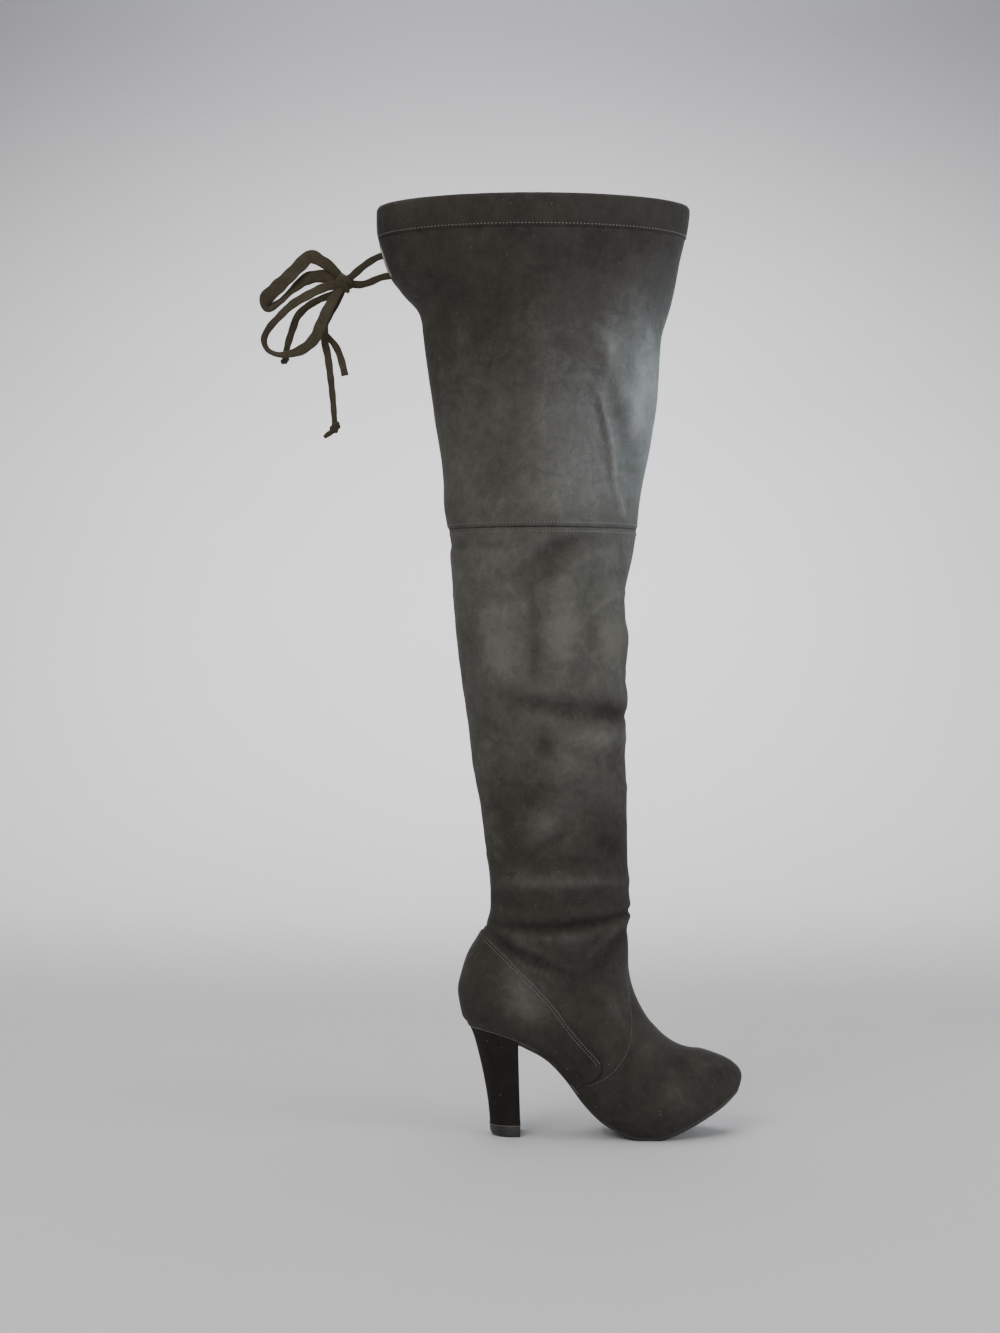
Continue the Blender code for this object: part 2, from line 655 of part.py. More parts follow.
def make_counter(collection, guides, finish):
    """A panel over the upper, cut from a larger shell by the outline of its edge."""
    columns = np.concatenate([foot_columns(), leg_columns()[:10]])
    panel = shell("counter", ribs(columns, FOOT_STRIPS), COUNTER_WALL, collection, finish, COUNTER_GAP, True)
    table = np.array(COUNTER_LINE)
    x = HEEL_BACK + table[:, 0] * FOOT_LENGTH
    z = seat_height(x) + table[:, 1] * INSTEP_HEIGHT
    behind = HEEL_BACK - 2 * WALL - COUNTER_WALL
    outline = [(behind, z[0] + WALL), *zip(x, z), (x[-1], 0.0), (behind, 0.0)]
    half = BALL_WIDTH
    flat = np.array([[(px, side * half, pz) for px, pz in outline] for side in (-1, 1)])
    form = bmesh.new()
    sides = [[form.verts.new(p) for p in line] for line in flat]
    count = len(outline)
    for i in range(count):
        j = (i + 1) % count
        form.faces.new((sides[0][i], sides[0][j], sides[1][j], sides[1][i]))
    form.faces.new(sides[0])
    form.faces.new(sides[1][::-1])
    bmesh.ops.recalc_face_normals(form, faces=form.faces[:])
    cutter = add_object("counter_edge", mesh_of("counter_edge", form), guides)
    return boolean(panel, "INTERSECT", cutter)


def make_shaft(collection, finish):
    hem = BOOT_HEIGHT - CASING_HEIGHT
    slit = BOOT_HEIGHT - SLIT_DEPTH
    lower = KNEE_HEIGHT + np.array([0, 0.08, 0.19, 0.34, 0.50, 0.66, 0.82, 0.89, 0.945]) * (slit - KNEE_HEIGHT)
    lower[0] += GAP / 2
    mouth = slit + np.array([0, 0.15, 0.45, 1.0]) * SLIT_WIDTH / 2
    upper = np.linspace(mouth[-1], hem - GAP / 2, 4)[1:]
    z = np.concatenate([lower, mouth, upper])
    return shell("shaft", ribs(thigh_columns(z), THIGH_STRIPS), WALL, collection, finish)


def make_casing(collection, finish):
    hem = BOOT_HEIGHT - CASING_HEIGHT
    up = np.array([0, 0.06, 0.3, 0.7, 0.93, 1.0])
    puff = CASING_PUFF * np.array([0.0, 0.6, 1.0, 1.0, 0.6, 0.0])
    z = hem + GAP / 2 + up * (CASING_HEIGHT - GAP / 2)
    points = ribs(thigh_columns(z), THIGH_STRIPS, puff)
    return shell("collar_casing", points, CASING_WALL, collection, finish)


def heel_seat():
    """The outline on which the heel block meets the foot, front to back."""
    return joined_ends(foot_outline(HEEL_BACK, HEEL_BREAST, HEEL_INSET), heel=True)


def heel_outline(down):
    """The heel's outline at a share of the way from the seat down to the lift."""
    seat = heel_seat()
    back = seat[..., 0].min()
    front = seat[..., 0].max()
    curve = 1 - (1 - down) ** 1.6
    new_back = back + (TIP_BACK - back) * curve
    new_front = front + (TIP_FRONT - front) * down
    wide = 1 + (TIP_WIDTH / (seat[1, :, 1].max() - seat[0, :, 1].min()) - 1) * curve
    x = new_back + (seat[..., 0] - back) / (front - back) * (new_front - new_back)
    return np.stack([x, seat[..., 1] * wide], axis=2)


def make_heel_block(collection, finish):
    top = edge_height(heel_seat()[..., 0]) - GAP
    levels = []
    for down in (1.0, 0.85, 0.68, 0.5, 0.34, 0.2, 0.08, 0.0):
        levels.append(at_height(heel_outline(down), LIFT_HEIGHT + (top - LIFT_HEIGHT) * (1 - down)))
    return block("heel_block", levels, collection, finish)


def make_top_lift(collection, finish):
    tip = heel_outline(1.0)
    front = tip[..., 0].max()
    length = front - tip[..., 0].min()
    levels = []
    for height, inset in LIFT_ROWS:
        flat = tip.copy()
        flat[..., 0] = front + (flat[..., 0] - front) * (1 - inset * LIFT_ROUNDING / length)
        level = np.full(flat.shape[:2], height * (LIFT_HEIGHT - GAP))
        levels.append(at_height(flat, level))
    return block("top_lift", levels, collection, finish)


def hung(route):
    """A route, or a place, moved along with the collar's back corner."""
    corner = thigh_columns(np.array([BOOT_HEIGHT]))[0]
    return np.array(route) + (corner[0], 0, corner[1]) - np.array(COLLAR_CORNER)


def on_knot(point):
    """The place just off the knot's surface on the way to a point."""
    centre = np.array(KNOT_CENTRE)
    way = np.array(point) - centre
    return centre + way / np.linalg.norm(way) * (KNOT_RADIUS + GAP)


def cord(name, route, diameter, collection, finish, spacing=2.2):
    """A round cord along a smooth curve through its route."""
    route = hung(route)
    steps = np.linalg.norm(np.diff(route, axis=0), axis=1)
    along = np.concatenate([[0], np.cumsum(steps)])
    count = max(4, round(along[-1] / (spacing * diameter)) + 1)
    points = through(along, route, np.linspace(0, along[-1], count))
    curve = bpy.data.curves.new(name, "CURVE")
    curve.dimensions = "3D"
    curve.bevel_depth = diameter / 2
    curve.bevel_resolution = 2
    curve.use_fill_caps = True
    spline = curve.splines.new("POLY")
    spline.points.add(count - 1)
    for vertex, place in zip(spline.points, points):
        vertex.co = (*place, 1)
    curve.materials.append(finish)
    obj = bpy.data.objects.new(name, curve)
    collection.objects.link(obj)
    return obj


def ball(name, centre, radius, collection, finish):
    form = bmesh.new()
    bmesh.ops.create_uvsphere(form, u_segments=12, v_segments=8, radius=radius)
    obj = add_object(name, mesh_of(name, form), collection, finish)
    obj.location = hung(centre)
    return obj


def knot_place(route, radius):
    """The centre of a knot that hangs at the end of a route."""
    end = np.array(route[-1])
    way = end - np.array(route[-2])
    return end + way / np.linalg.norm(way) * (radius + GAP)


def make_bow(collection, finish):
    ball("bow_knot", KNOT_CENTRE, KNOT_RADIUS, collection, finish)
    lower = (on_knot(LOWER_LOOP[0]), *LOWER_LOOP, on_knot(LOWER_LOOP[-1]))
    cord("bow_lower_loop", lower, LOOP_CORD, collection, finish)
    upper = (on_knot(UPPER_LOOP[0]), *UPPER_LOOP, on_knot(UPPER_LOOP[-1]))
    cord("bow_upper_loop", upper, LOOP_CORD, collection, finish)
    cord("bow_inner_end", (on_knot(INNER_END[0]), *INNER_END), CORD, collection, finish)
    cord("bow_hanging_end", (on_knot(HANGING_END[0]), *HANGING_END), CORD, collection, finish)
    cord("bow_short_end", SHORT_END, CORD, collection, finish)
    ball("inner_end_knot", knot_place(INNER_END, SMALL_KNOT_RADIUS), SMALL_KNOT_RADIUS, collection, finish)
    ball("hanging_end_knot", knot_place(HANGING_END, END_KNOT_RADIUS), END_KNOT_RADIUS, collection, finish)
    outer = (*OUTER_STRAND, on_knot(OUTER_STRAND[-1]))
    cord("drawstring_outer", outer, STRAND_CORD, collection, finish)
    inner = (*INNER_STRAND, on_knot(INNER_STRAND[-1]))
    cord("drawstring_inner", inner, STRAND_CORD, collection, finish)


def main():
    for obj in list(bpy.data.objects):
        bpy.data.objects.remove(obj)
    parts = new_collection("thigh_high_boot")
    guides = new_collection("guides")
    suede = material("suede", SUEDE, 0.9)
    dark_suede = material("dark_suede", SUEDE_DARK, 0.9)
    rubber = material("rubber", RUBBER, 0.5)
    lining = material("lining", LINING, 0.85)
    cord_suede = material("cord_suede", CORD_SUEDE, 0.9)
    core = make_core(guides)
    make_outsole(parts, rubber)
    make_platform(parts, core, dark_suede)
    make_insole(parts, core, lining)
    make_heel_block(parts, dark_suede)
    make_top_lift(parts, rubber)
    make_upper(parts, guides, suede)
    make_counter(parts, guides, suede)
    make_shaft(parts, suede)
    make_casing(parts, suede)
    make_bow(parts, cord_suede)


main()
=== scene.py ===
"""Looks of the thigh high boot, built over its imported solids.

Metres, +Z up, toe towards +X, outer side of the foot towards -Y, floor at Z = 0.
"""

import math

import bmesh
import bpy
import numpy as np
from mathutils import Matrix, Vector


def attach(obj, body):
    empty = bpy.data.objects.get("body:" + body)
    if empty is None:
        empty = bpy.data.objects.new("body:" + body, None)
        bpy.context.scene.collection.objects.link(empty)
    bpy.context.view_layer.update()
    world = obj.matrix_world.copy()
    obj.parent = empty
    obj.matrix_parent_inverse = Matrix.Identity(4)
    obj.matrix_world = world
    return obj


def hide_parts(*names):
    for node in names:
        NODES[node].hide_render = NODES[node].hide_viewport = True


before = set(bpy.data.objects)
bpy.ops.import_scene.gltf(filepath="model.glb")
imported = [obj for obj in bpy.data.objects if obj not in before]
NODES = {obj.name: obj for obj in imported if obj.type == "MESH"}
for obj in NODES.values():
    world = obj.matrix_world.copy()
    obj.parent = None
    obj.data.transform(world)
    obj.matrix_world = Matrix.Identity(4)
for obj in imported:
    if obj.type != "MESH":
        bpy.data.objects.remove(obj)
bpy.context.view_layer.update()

# Foot and sole sizes
FOOT_LENGTH = 0.230
HEEL_BACK = -0.0375
BALL_WIDTH = 0.084
HEEL_HEIGHT = 0.0857
TOE_SPRING = 0.0357
INSTEP_HEIGHT = 0.100
OUTSOLE_THICKNESS = 0.003

# Leg sizes
KNEE_HEIGHT = 0.489
BOOT_HEIGHT = 0.750
HEEL_DEPTH = 0.1375
ANKLE_DEPTH = 0.110
ANKLE_WIDTH = 0.076
KNEE_DEPTH = 0.153
KNEE_WIDTH = 0.102
COLLAR_DEPTH = 0.2535
COLLAR_WIDTH = 0.130
CASING_HEIGHT = 0.0265
CASING_WALL = 0.0032
CASING_PUFF = 0.0009
CASING_GATHER = 0.0004
SLIT_DEPTH = 0.064
SLIT_WIDTH = 0.010

# Heel sizes
HEEL_BREAST = 0.0095
HEEL_INSET = 0.0012
HEEL_FLARE = 0.0009
TIP_BACK = -0.0132
TIP_FRONT = 0.0115
TIP_WIDTH = 0.033
LIFT_HEIGHT = 0.009
LIFT_ROUNDING = 0.0050

# Share of the side's width that the lower edge has at the very nose
NOSE_SHARE = 0.93

# Walls and gaps
WALL = 0.0020
COUNTER_WALL = 0.0012
GAP = 0.0003

# Counter: how far it lies off the upper, and how its lower rim is drawn in
COUNTER_LIFT = 0.0005
COUNTER_TUCK = 0.0020
TUCK_HEIGHT = 0.008

# Grooves where two panels are sewn together, and the millimetres that count as far from any
SEAM_DEPTH = 0.0008
SEAM_WIDTH = 0.0016
FAR_FROM_SEAM = 9.0

# Points closer than this are merged
MERGE = 2e-6

# Stretch of the sole where the upper's turned edge shows, from heel to arch
TURNED_EDGE_BACK = -0.0275
TURNED_EDGE_FRONT = 0.060

# Bow sizes
KNOT_CENTRE = (-0.1310, 0.0, 0.6900)
KNOT_RADIUS = 0.0075
KNOT_OVERLAP = 0.0025
LOWER_LOOP_WIDTH = 0.0062
UPPER_LOOP_WIDTH = 0.0068

# Camera at the photograph's place
LENS = 59.9
LENS_SHIFT = 0.0049
VIEW_MIDDLE = -0.0049
VIEW_DISTANCE = 1.8
VIEW_HEIGHT = 0.3735

# Line of the upper's lower edge: share of FOOT_LENGTH, share of HEEL_HEIGHT, share of TOE_SPRING
SEAT_LINE = (
    (0.00, 1.000, 0.000),
    (0.08, 0.981, 0.000),
    (0.16, 0.924, 0.000),
    (0.24, 0.833, 0.000),
    (0.31, 0.720, 0.000),
    (0.37, 0.548, 0.000),
    (0.43, 0.331, 0.000),
    (0.49, 0.169, 0.000),
    (0.55, 0.070, 0.000),
    (0.60, 0.014, 0.000),
    (0.63, 0.000, 0.000),
    (0.69, 0.000, 0.000),
    (0.74, 0.000, 0.087),
    (0.80, 0.000, 0.255),
    (0.86, 0.000, 0.454),
    (0.92, 0.000, 0.678),
    (0.97, 0.000, 0.908),
    (1.00, 0.000, 1.040),
)

# Ribs of the foot from the nose to the heel, as in the part's source
FOOT_RIBS = (
    # along, ridge, rise, edge_out, edge_in, side_out, side_in, widest, low, high, nose, swing
    (0.991, 0.965, 0.185, 0.000, 0.000, 0.000, 0.000, 0.36, 1.00, 0.80, 0.0174, 0.12),
    (0.986, 0.954, 0.211, 0.155, 0.155, 0.167, 0.167, 0.36, 1.00, 0.80, 0.0143, 0.12),
    (0.974, 0.937, 0.249, 0.286, 0.286, 0.310, 0.310, 0.36, 1.00, 0.80, 0.0096, 0.12),
    (0.954, 0.915, 0.302, 0.410, 0.410, 0.443, 0.443, 0.35, 1.00, 0.82, 0.0043, 0.11),
    (0.924, 0.885, 0.377, 0.536, 0.536, 0.586, 0.586, 0.34, 1.00, 0.84, 0.0013, 0.10),
    (0.885, 0.848, 0.458, 0.643, 0.643, 0.714, 0.714, 0.34, 1.00, 0.87, 0.0, 0.09),
    (0.837, 0.811, 0.529, 0.726, 0.726, 0.829, 0.829, 0.33, 1.00, 0.92, 0.0, 0.07),
    (0.780, 0.767, 0.625, 0.786, 0.786, 0.929, 0.929, 0.32, 1.00, 0.98, 0.0, 0.05),
    (0.735, 0.734, 0.712, 0.803, 0.790, 0.978, 0.978, 0.31, 1.00, 1.03, 0.0, 0.035),
    (0.690, 0.704, 0.797, 0.800, 0.765, 1.000, 0.995, 0.31, 1.00, 1.06, 0.0, 0.02),
    (0.630, 0.669, 0.892, 0.770, 0.712, 0.992, 0.978, 0.31, 1.00, 1.08, 0.0, 0.005),
    (0.575, 0.639, 0.971, 0.722, 0.652, 0.960, 0.942, 0.32, 1.00, 1.08, 0.0, 0.00),
    (0.524, 0.617, 1.014, 0.667, 0.595, 0.917, 0.905, 0.34, 1.00, 1.06, 0.0, -0.01),
    (0.459, 0.602, 1.005, 0.607, 0.536, 0.869, 0.857, 0.37, 1.00, 1.04, 0.0, -0.02),
    (0.393, 0.596, 0.920, 0.571, 0.500, 0.840, 0.833, 0.40, 1.00, 1.02, 0.0, -0.02),
    (0.328, 0.595, 0.820, 0.567, 0.500, 0.817, 0.817, 0.43, 0.98, 1.00, 0.0, -0.02),
    (0.263, 0.595, 0.785, 0.583, 0.548, 0.810, 0.810, 0.46, 0.94, 1.00, 0.0, -0.01),
    (0.198, 0.595, 0.775, 0.607, 0.595, 0.814, 0.814, 0.48, 0.88, 1.00, 0.0, 0.00),
    (0.133, 0.595, 0.775, 0.602, 0.602, 0.824, 0.824, 0.49, 0.82, 1.00, 0.0, 0.00),
    (0.083, 0.596, 0.797, 0.519, 0.519, 0.833, 0.833, 0.50, 0.80, 1.00, 0.0, 0.00),
    (0.050, 0.598, 0.837, 0.345, 0.345, 0.840, 0.840, 0.50, 0.81, 1.00, 0.0, 0.00),
    (0.035, 0.601, 0.883, 0.179, 0.179, 0.848, 0.848, 0.50, 0.82, 1.00, 0.0, 0.00),
    (0.030, 0.603, 0.932, 0.000, 0.000, 0.857, 0.857, 0.50, 0.82, 1.00, 0.0, 0.00),
)

# Rings of the lower leg, as in the part's source
LEG_RINGS = (
    # back, front, centre, heel, depth, width, low, high
    (0.019, 0.244, 0.310, 0.924, 0.000, -0.13, 0.82, 1.00),
    (0.047, 0.257, 0.303, 0.982, 0.000, -0.11, 0.82, 1.00),
    (0.072, 0.274, 0.299, 1.000, 0.000, -0.08, 0.82, 1.00),
    (0.099, 0.294, 0.303, 0.913, 0.000, -0.05, 0.82, 1.00),
    (0.144, 0.319, 0.314, 0.662, 0.000, -0.02, 0.82, 1.00),
    (0.189, 0.347, 0.336, 0.247, 0.000, 0.00, 0.82, 1.00),
    (0.227, 0.375, 0.348, 0.033, 0.000, 0.02, 0.83, 1.00),
    (0.267, 0.405, 0.348, 0.000, 0.002, 0.05, 0.84, 1.00),
    (0.310, 0.440, 0.344, 0.000, 0.026, 0.09, 0.87, 1.00),
    (0.372, 0.487, 0.338, 0.000, 0.081, 0.17, 0.90, 1.00),
    (0.452, 0.547, 0.327, 0.000, 0.193, 0.31, 0.92, 1.00),
    (0.527, 0.602, 0.317, 0.000, 0.337, 0.45, 0.94, 1.00),
    (0.605, 0.657, 0.310, 0.000, 0.463, 0.58, 0.96, 1.00),
    (0.682, 0.707, 0.297, 0.000, 0.500, 0.68, 0.97, 1.00),
    (0.767, 0.777, 0.294, 0.000, 0.670, 0.80, 0.98, 1.00),
    (0.830, 0.827, 0.283, 0.000, 0.677, 0.86, 0.99, 1.00),
    (0.882, 0.877, 0.279, 0.000, 0.712, 0.91, 1.00, 1.00),
    (0.942, 0.937, 0.286, 0.000, 0.888, 0.97, 1.00, 1.00),
    (0.986, 0.986, 0.293, 0.000, 0.951, 0.99, 1.00, 1.00),
    (1.000, 1.000, 0.292, 0.000, 1.000, 1.00, 1.00, 1.00),
)

# Level rings of the thigh, as in the part's source
THIGH_RINGS = (
    # height, centre, depth, width
    (0.000, 0.292, 0.000, 0.00),
    (0.061, 0.288, 0.046, 0.07),
    (0.149, 0.294, 0.088, 0.14),
    (0.260, 0.300, 0.176, 0.29),
    (0.375, 0.300, 0.273, 0.43),
    (0.471, 0.294, 0.330, 0.52),
    (0.548, 0.291, 0.367, 0.61),
    (0.609, 0.293, 0.404, 0.68),
    (0.655, 0.299, 0.458, 0.73),
    (0.693, 0.297, 0.531, 0.77),
    (0.730, 0.281, 0.650, 0.81),
    (0.770, 0.265, 0.766, 0.84),
    (0.847, 0.253, 0.891, 0.91),
    (0.898, 0.254, 0.946, 0.95),
    (1.000, 0.260, 1.000, 1.00),
)

# Edge of the counter seen from the side: x and z in metres, back to front, then down the vamp seam
COUNTER_EDGE = (
    (-0.0450, 0.1760),
    (-0.0237, 0.1667),
    (-0.0122, 0.1601),
    (-0.0007, 0.1499),
    (0.0131, 0.1356),
    (0.0269, 0.1214),
    (0.0407, 0.1056),
    (0.0499, 0.0933),
    (0.0591, 0.0820),
    (0.0695, 0.0709),
    (0.0757, 0.0638),
    (0.0757, 0.0583),
    (0.0699, 0.0500),
    (0.0619, 0.0455),
    (0.0534, 0.0440),
    (0.0470, 0.0455),
    (0.0400, 0.0470),
)

# Middle of the placket on the inner side, seen from the side
PLACKET = (
    (-0.0300, 0.4720),
    (-0.0230, 0.4020),
    (-0.0175, 0.3500),
    (-0.0120, 0.2710),
    (-0.0080, 0.2020),
)

# Seam of the vamp seen from the side, from the front of the ankle to the sole's edge
VAMP_SEAM = (
    (0.0985, 0.1640),
    (0.0978, 0.1440),
    (0.0973, 0.1210),
    (0.0998, 0.1046),
    (0.1002, 0.0896),
    (0.0957, 0.0713),
    (0.0850, 0.0564),
    (0.0697, 0.0462),
    (0.0560, 0.0432),
    (0.0465, 0.0440),
)

# Folds of the leg and foot seen from the side, in millimetres: a soft trough or ridge along a bowed path.
# height is + for a ridge and - for a trough; side is -1 outer, 1 inner, 0 both
FOLDS = (
    # x0, z0, x1, z1, bow, width, height, side
    (-8, 172, 101, 181, -6, 4.0, -4.2, 0),
    (-2, 166, 96, 173, -7, 4.5, 2.3, 0),
    (-8, 204, 96, 205, 3, 7.0, 2.6, 0),
    (-6, 222, 80, 224, 0, 6.0, -1.2, -1),
    (-4, 188, 60, 190, 0, 5.5, -0.8, -1),
    (-15, 169, 36, 136, -3, 2.6, -4.6, 0),
    (10, 152, 46, 134, 2, 2.2, -2.8, -1),
    (6, 153, 34, 129, 1, 1.4, 1.9, -1),
    (0, 169, 56, 136, -4, 4.0, 2.5, 0),
    (103, 178, 61, 140, -3, 2.6, 2.5, 0),
    (102, 168, 68, 132, -2, 5.0, -1.9, 0),
    (40, 150, 70, 110, 0, 10.0, -1.6, -1),
    (70, 120, 92, 96, 3, 6.0, 1.6, -1),
    (5, 448, 70, 480, 8, 6.5, -3.4, -1),
    (20, 443, 48, 454, 2, 5.0, -1.9, -1),
    (44, 448, 82, 472, 4, 5.0, 2.0, -1),
    (60, 436, 92, 455, 5, 7.0, -2.3, -1),
    (62, 414, 97, 438, 3, 3.0, 2.0, -1),
    (84, 428, 94, 412, 0, 5.0, -1.6, -1),
    (-14, 470, -26, 470, 0, 4.0, 1.2, -1),
    (-5, 434, -3, 362, -2, 14.0, 3.4, -1),
    (19, 436, 20, 362, 2, 4.2, -2.8, -1),
    (44, 442, 44, 368, 0, 12.0, 2.9, -1),
    (68, 412, 71, 380, 0, 6.0, -1.4, -1),
    (86, 402, 88, 376, 0, 7.0, 1.4, -1),
    (-6, 358, 98, 340, -6, 7.5, -3.4, 0),
    (74, 344, 98, 338, 0, 5.0, -2.2, 0),
    (38, 328, 98, 322, -3, 9.0, 2.6, -1),
    (28, 318, 40, 300, 0, 6.0, -2.0, -1),
    (-18, 335, 0, 322, 0, 6.0, -1.7, -1),
    (24, 304, 60, 292, 2, 11.0, 2.3, -1),
    (66, 300, 92, 268, 0, 12.0, 1.4, -1),
    (10, 268, 36, 280, 0, 8.0, -1.6, -1),
    (14, 221, 48, 246, 3, 3.5, -2.0, -1),
    (20, 240, 40, 262, 0, 9.0, 2.0, -1),
    (70, 246, 92, 226, 0, 8.0, -1.9, -1),
    (-12, 262, -4, 226, 0, 6.0, 1.6, -1),
    (-28, 330, -12, 230, 3, 9.0, 1.2, -1),
    (-30, 640, -24, 520, 3, 16.0, 1.4, -1),
    (20, 660, 30, 540, 3, 26.0, 1.6, -1),
    (96, 690, 118, 560, 0, 12.0, 1.4, -1),
    (-40, 500, 60, 505, 3, 8.0, 1.2, -1),
    (-50, 478, 20, 474, -3, 5.0, -1.6, 0),
    (10, 452, 76, 462, 5, 8.0, -2.8, 1),
    (0, 430, -2, 360, 3, 14.0, 2.5, 1),
    (40, 430, 42, 362, -2, 12.0, 2.6, 1),
    (22, 430, 20, 366, 0, 4.5, -2.0, 1),
    (30, 318, 90, 312, 4, 9.0, 2.2, 1),
    (-8, 250, 60, 262, 5, 6.0, -2.0, 1),
    (10, 600, 60, 540, 6, 16.0, 1.6, 1),
    (-40, 640, -30, 540, -4, 8.0, -1.9, 1),
    (-87, 688, -67, 667, 0, 4.0, 1.8, -1),
    (-52, 669, -48, 617, 0, 6.0, -1.4, -1),
    (69, 647, 79, 610, 7, 3.2, 1.9, -1),
    (60, 640, 70, 606, 6, 6.0, -1.2, -1),
    (86, 616, 104, 562, 2, 7.0, 2.0, -1),
    (80, 604, 95, 540, 2, 4.5, -1.6, -1),
    (72, 594, 85, 523, 3, 2.6, 3.4, -1),
    (85, 523, 95, 492, 0, 2.4, 3.2, -1),
    (101, 556, 99, 502, 0, 6.0, -1.4, -1),
    (112, 650, 118, 580, 0, 5.0, 1.2, -1),
)

# Patches of paler and darker tone seen from the side, in millimetres; light is + paler, - darker.
# Partly the pile lying another way, partly painted light and shade: painted glare and painted shade in fold
# troughs
NAP_AND_PAINTED_LIGHT_PATCHES = (
    # x, z, half_length, half_height, lean, light, side
    # The first four patches are painted glare, where the window light falls on the thigh's front
    (100, 600, 24, 56, -8, 0.60, -1),
    (112, 610, 12, 46, -10, 0.85, -1),
    (106, 585, 7, 30, 0, 0.70, -1),
    (84, 640, 10, 28, 0, 0.60, -1),
    (60, 560, 44, 60, 0, 0.35, -1),
    (10, 590, 60, 50, 0, 0.22, -1),
    (-4, 398, 20, 34, 0, 0.40, -1),
    (42, 404, 16, 36, 0, 0.45, -1),
    (84, 400, 16, 50, 0, 1.10, -1),
    (52, 470, 30, 14, 12, -0.55, -1),
    (30, 458, 16, 10, 6, -0.35, -1),
    (-6, 462, 26, 16, 0, 0.30, -1),
    # Painted shade along the fold trough at this height
    (84, 346, 20, 9, -4, -0.65, -1),
    (34, 350, 40, 8, 0, -0.40, -1),
    (72, 322, 26, 10, 0, 0.60, -1),
    (40, 296, 20, 14, 0, 0.50, -1),
    (28, 316, 8, 8, 0, -0.45, -1),
    (50, 268, 40, 16, 10, 0.15, -1),
    (30, 250, 14, 18, 8, 0.50, -1),
    (80, 236, 18, 14, 0, -0.35, -1),
    (45, 207, 46, 5, 0, 0.75, -1),
    (45, 176, 54, 5, 3, -0.55, -1),
    (50, 160, 34, 8, -10, 0.30, -1),
    (12, 118, 18, 24, -10, 1.80, -1),
    (0, 96, 26, 8, -6, -0.45, -1),
    (46, 78, 26, 10, -14, -0.15, -1),
    (76, 138, 14, 24, 0, -0.30, -1),
    (90, 104, 10, 16, 0, 0.25, -1),
    (112, 78, 8, 10, 0, 0.40, -1),
    (120, 48, 26, 20, 0, 0.10, -1),
    (150, 30, 20, 10, 6, 0.22, -1),
    (172, 52, 16, 8, 0, -0.25, -1),
    (132, 40, 22, 14, 6, 0.35, -1),
    (158, 58, 10, 6, 0, 0.45, -1),
    (176, 38, 9, 5, 3, 0.40, -1),
    (140, 62, 9, 7, 0, -0.40, -1),
    (108, 62, 8, 12, 4, 0.35, -1),
    (96, 128, 5, 20, 0, 0.45, -1),
    (-45, 506, 6, 8, 0, -0.60, -1),
    (20, 400, 40, 60, 0, 0.35, 1),
    (30, 560, 60, 70, 0, 0.30, 1),
)

# How much paler the tone is painted on each metre that a fold stands up: painted light on ridges,
# painted shade in troughs; and the share of the patches' light
FOLD_LIGHT_AND_SHADE = 170
PATCH_LIGHT_SHARE = 0.75

# Painted light and shade up the boot, paler at mid-leg and darker at the foot and the collar:
# height in millimetres, light as above
PAINTED_LIGHT_BY_HEIGHT = (
    (0, -0.50),
    (60, -0.45),
    (110, -0.15),
    (160, -0.30),
    (200, -0.22),
    (260, 0.00),
    (340, 0.72),
    (400, 0.85),
    (470, 0.98),
    (550, 0.70),
    (620, -0.05),
    (660, -0.15),
    (700, -0.40),
    (750, -0.30),
)


def through(knots, values, at):
    """Values on a smooth curve through a table's rows; a run of equal values stays flat."""
    knots = np.asarray(knots, float)
    values = np.asarray(values, float)
    at = np.clip(np.asarray(at, float), knots[0], knots[-1])
    gaps = np.diff(knots)
    gaps = gaps.reshape(gaps.shape + (1,) * (values.ndim - 1))
    climbs = np.diff(values, axis=0) / gaps
    slopes = np.zeros_like(values)
    slopes[0] = climbs[0]
    slopes[-1] = climbs[-1]
    mean = (climbs[:-1] * gaps[1:] + climbs[1:] * gaps[:-1]) / (gaps[1:] + gaps[:-1])
    slopes[1:-1] = np.where(climbs[1:] * climbs[:-1] == 0, 0, mean)
    row = np.clip(np.searchsorted(knots, at, side="right") - 1, 0, len(knots) - 2)
    gap = (knots[row + 1] - knots[row]).reshape(at.shape + (1,) * (values.ndim - 1))
    t = (at - knots[row]).reshape(gap.shape) / gap
    start = (1 + 2 * t) * (1 - t) ** 2 * values[row] + t * (1 - t) ** 2 * gap * slopes[row]
    end = t * t * (3 - 2 * t) * values[row + 1] + t * t * (t - 1) * gap * slopes[row + 1]
    return start + end


def smooth_step(value, low, high):
    """0 below low, 1 above high, and a smooth climb between."""
    t = np.clip((value - low) / (high - low), 0, 1)
    return t * t * (3 - 2 * t)


def unit(vectors):
    """Vectors brought to length 1."""
    return vectors / np.linalg.norm(vectors, axis=-1, keepdims=True)


def along_of(points):
    """How far along a polyline each of its points lies."""
    return np.concatenate([[0], np.cumsum(np.linalg.norm(np.diff(points, axis=0), axis=1))])


def seat_height(x):
    """Height of the upper's lower edge at x."""
    table = np.array(SEAT_LINE)
    shares = through(table[:, 0], table[:, 1:], (x - HEEL_BACK) / FOOT_LENGTH)
    under = shares[..., 0] * HEEL_HEIGHT + shares[..., 1] * TOE_SPRING
    return under + OUTSOLE_THICKNESS + GAP


def foot_columns():
    """The foot's ribs in metres: foot x, foot z, top x, top z, edge out, edge in, side out,
    side in, widest, low, high, nose, swing."""
    t = np.array(FOOT_RIBS).T
    half = BALL_WIDTH / 2
    foot_x = HEEL_BACK + t[0] * FOOT_LENGTH
    foot_z = seat_height(foot_x)
    top_x = HEEL_BACK + t[1] * FOOT_LENGTH
    top_z = foot_z + t[2] * INSTEP_HEIGHT
    widths = t[3:7] * half
    return np.array([foot_x, foot_z, top_x, top_z, *widths, *t[7:10], t[10] * FOOT_LENGTH, t[11] * half]).T


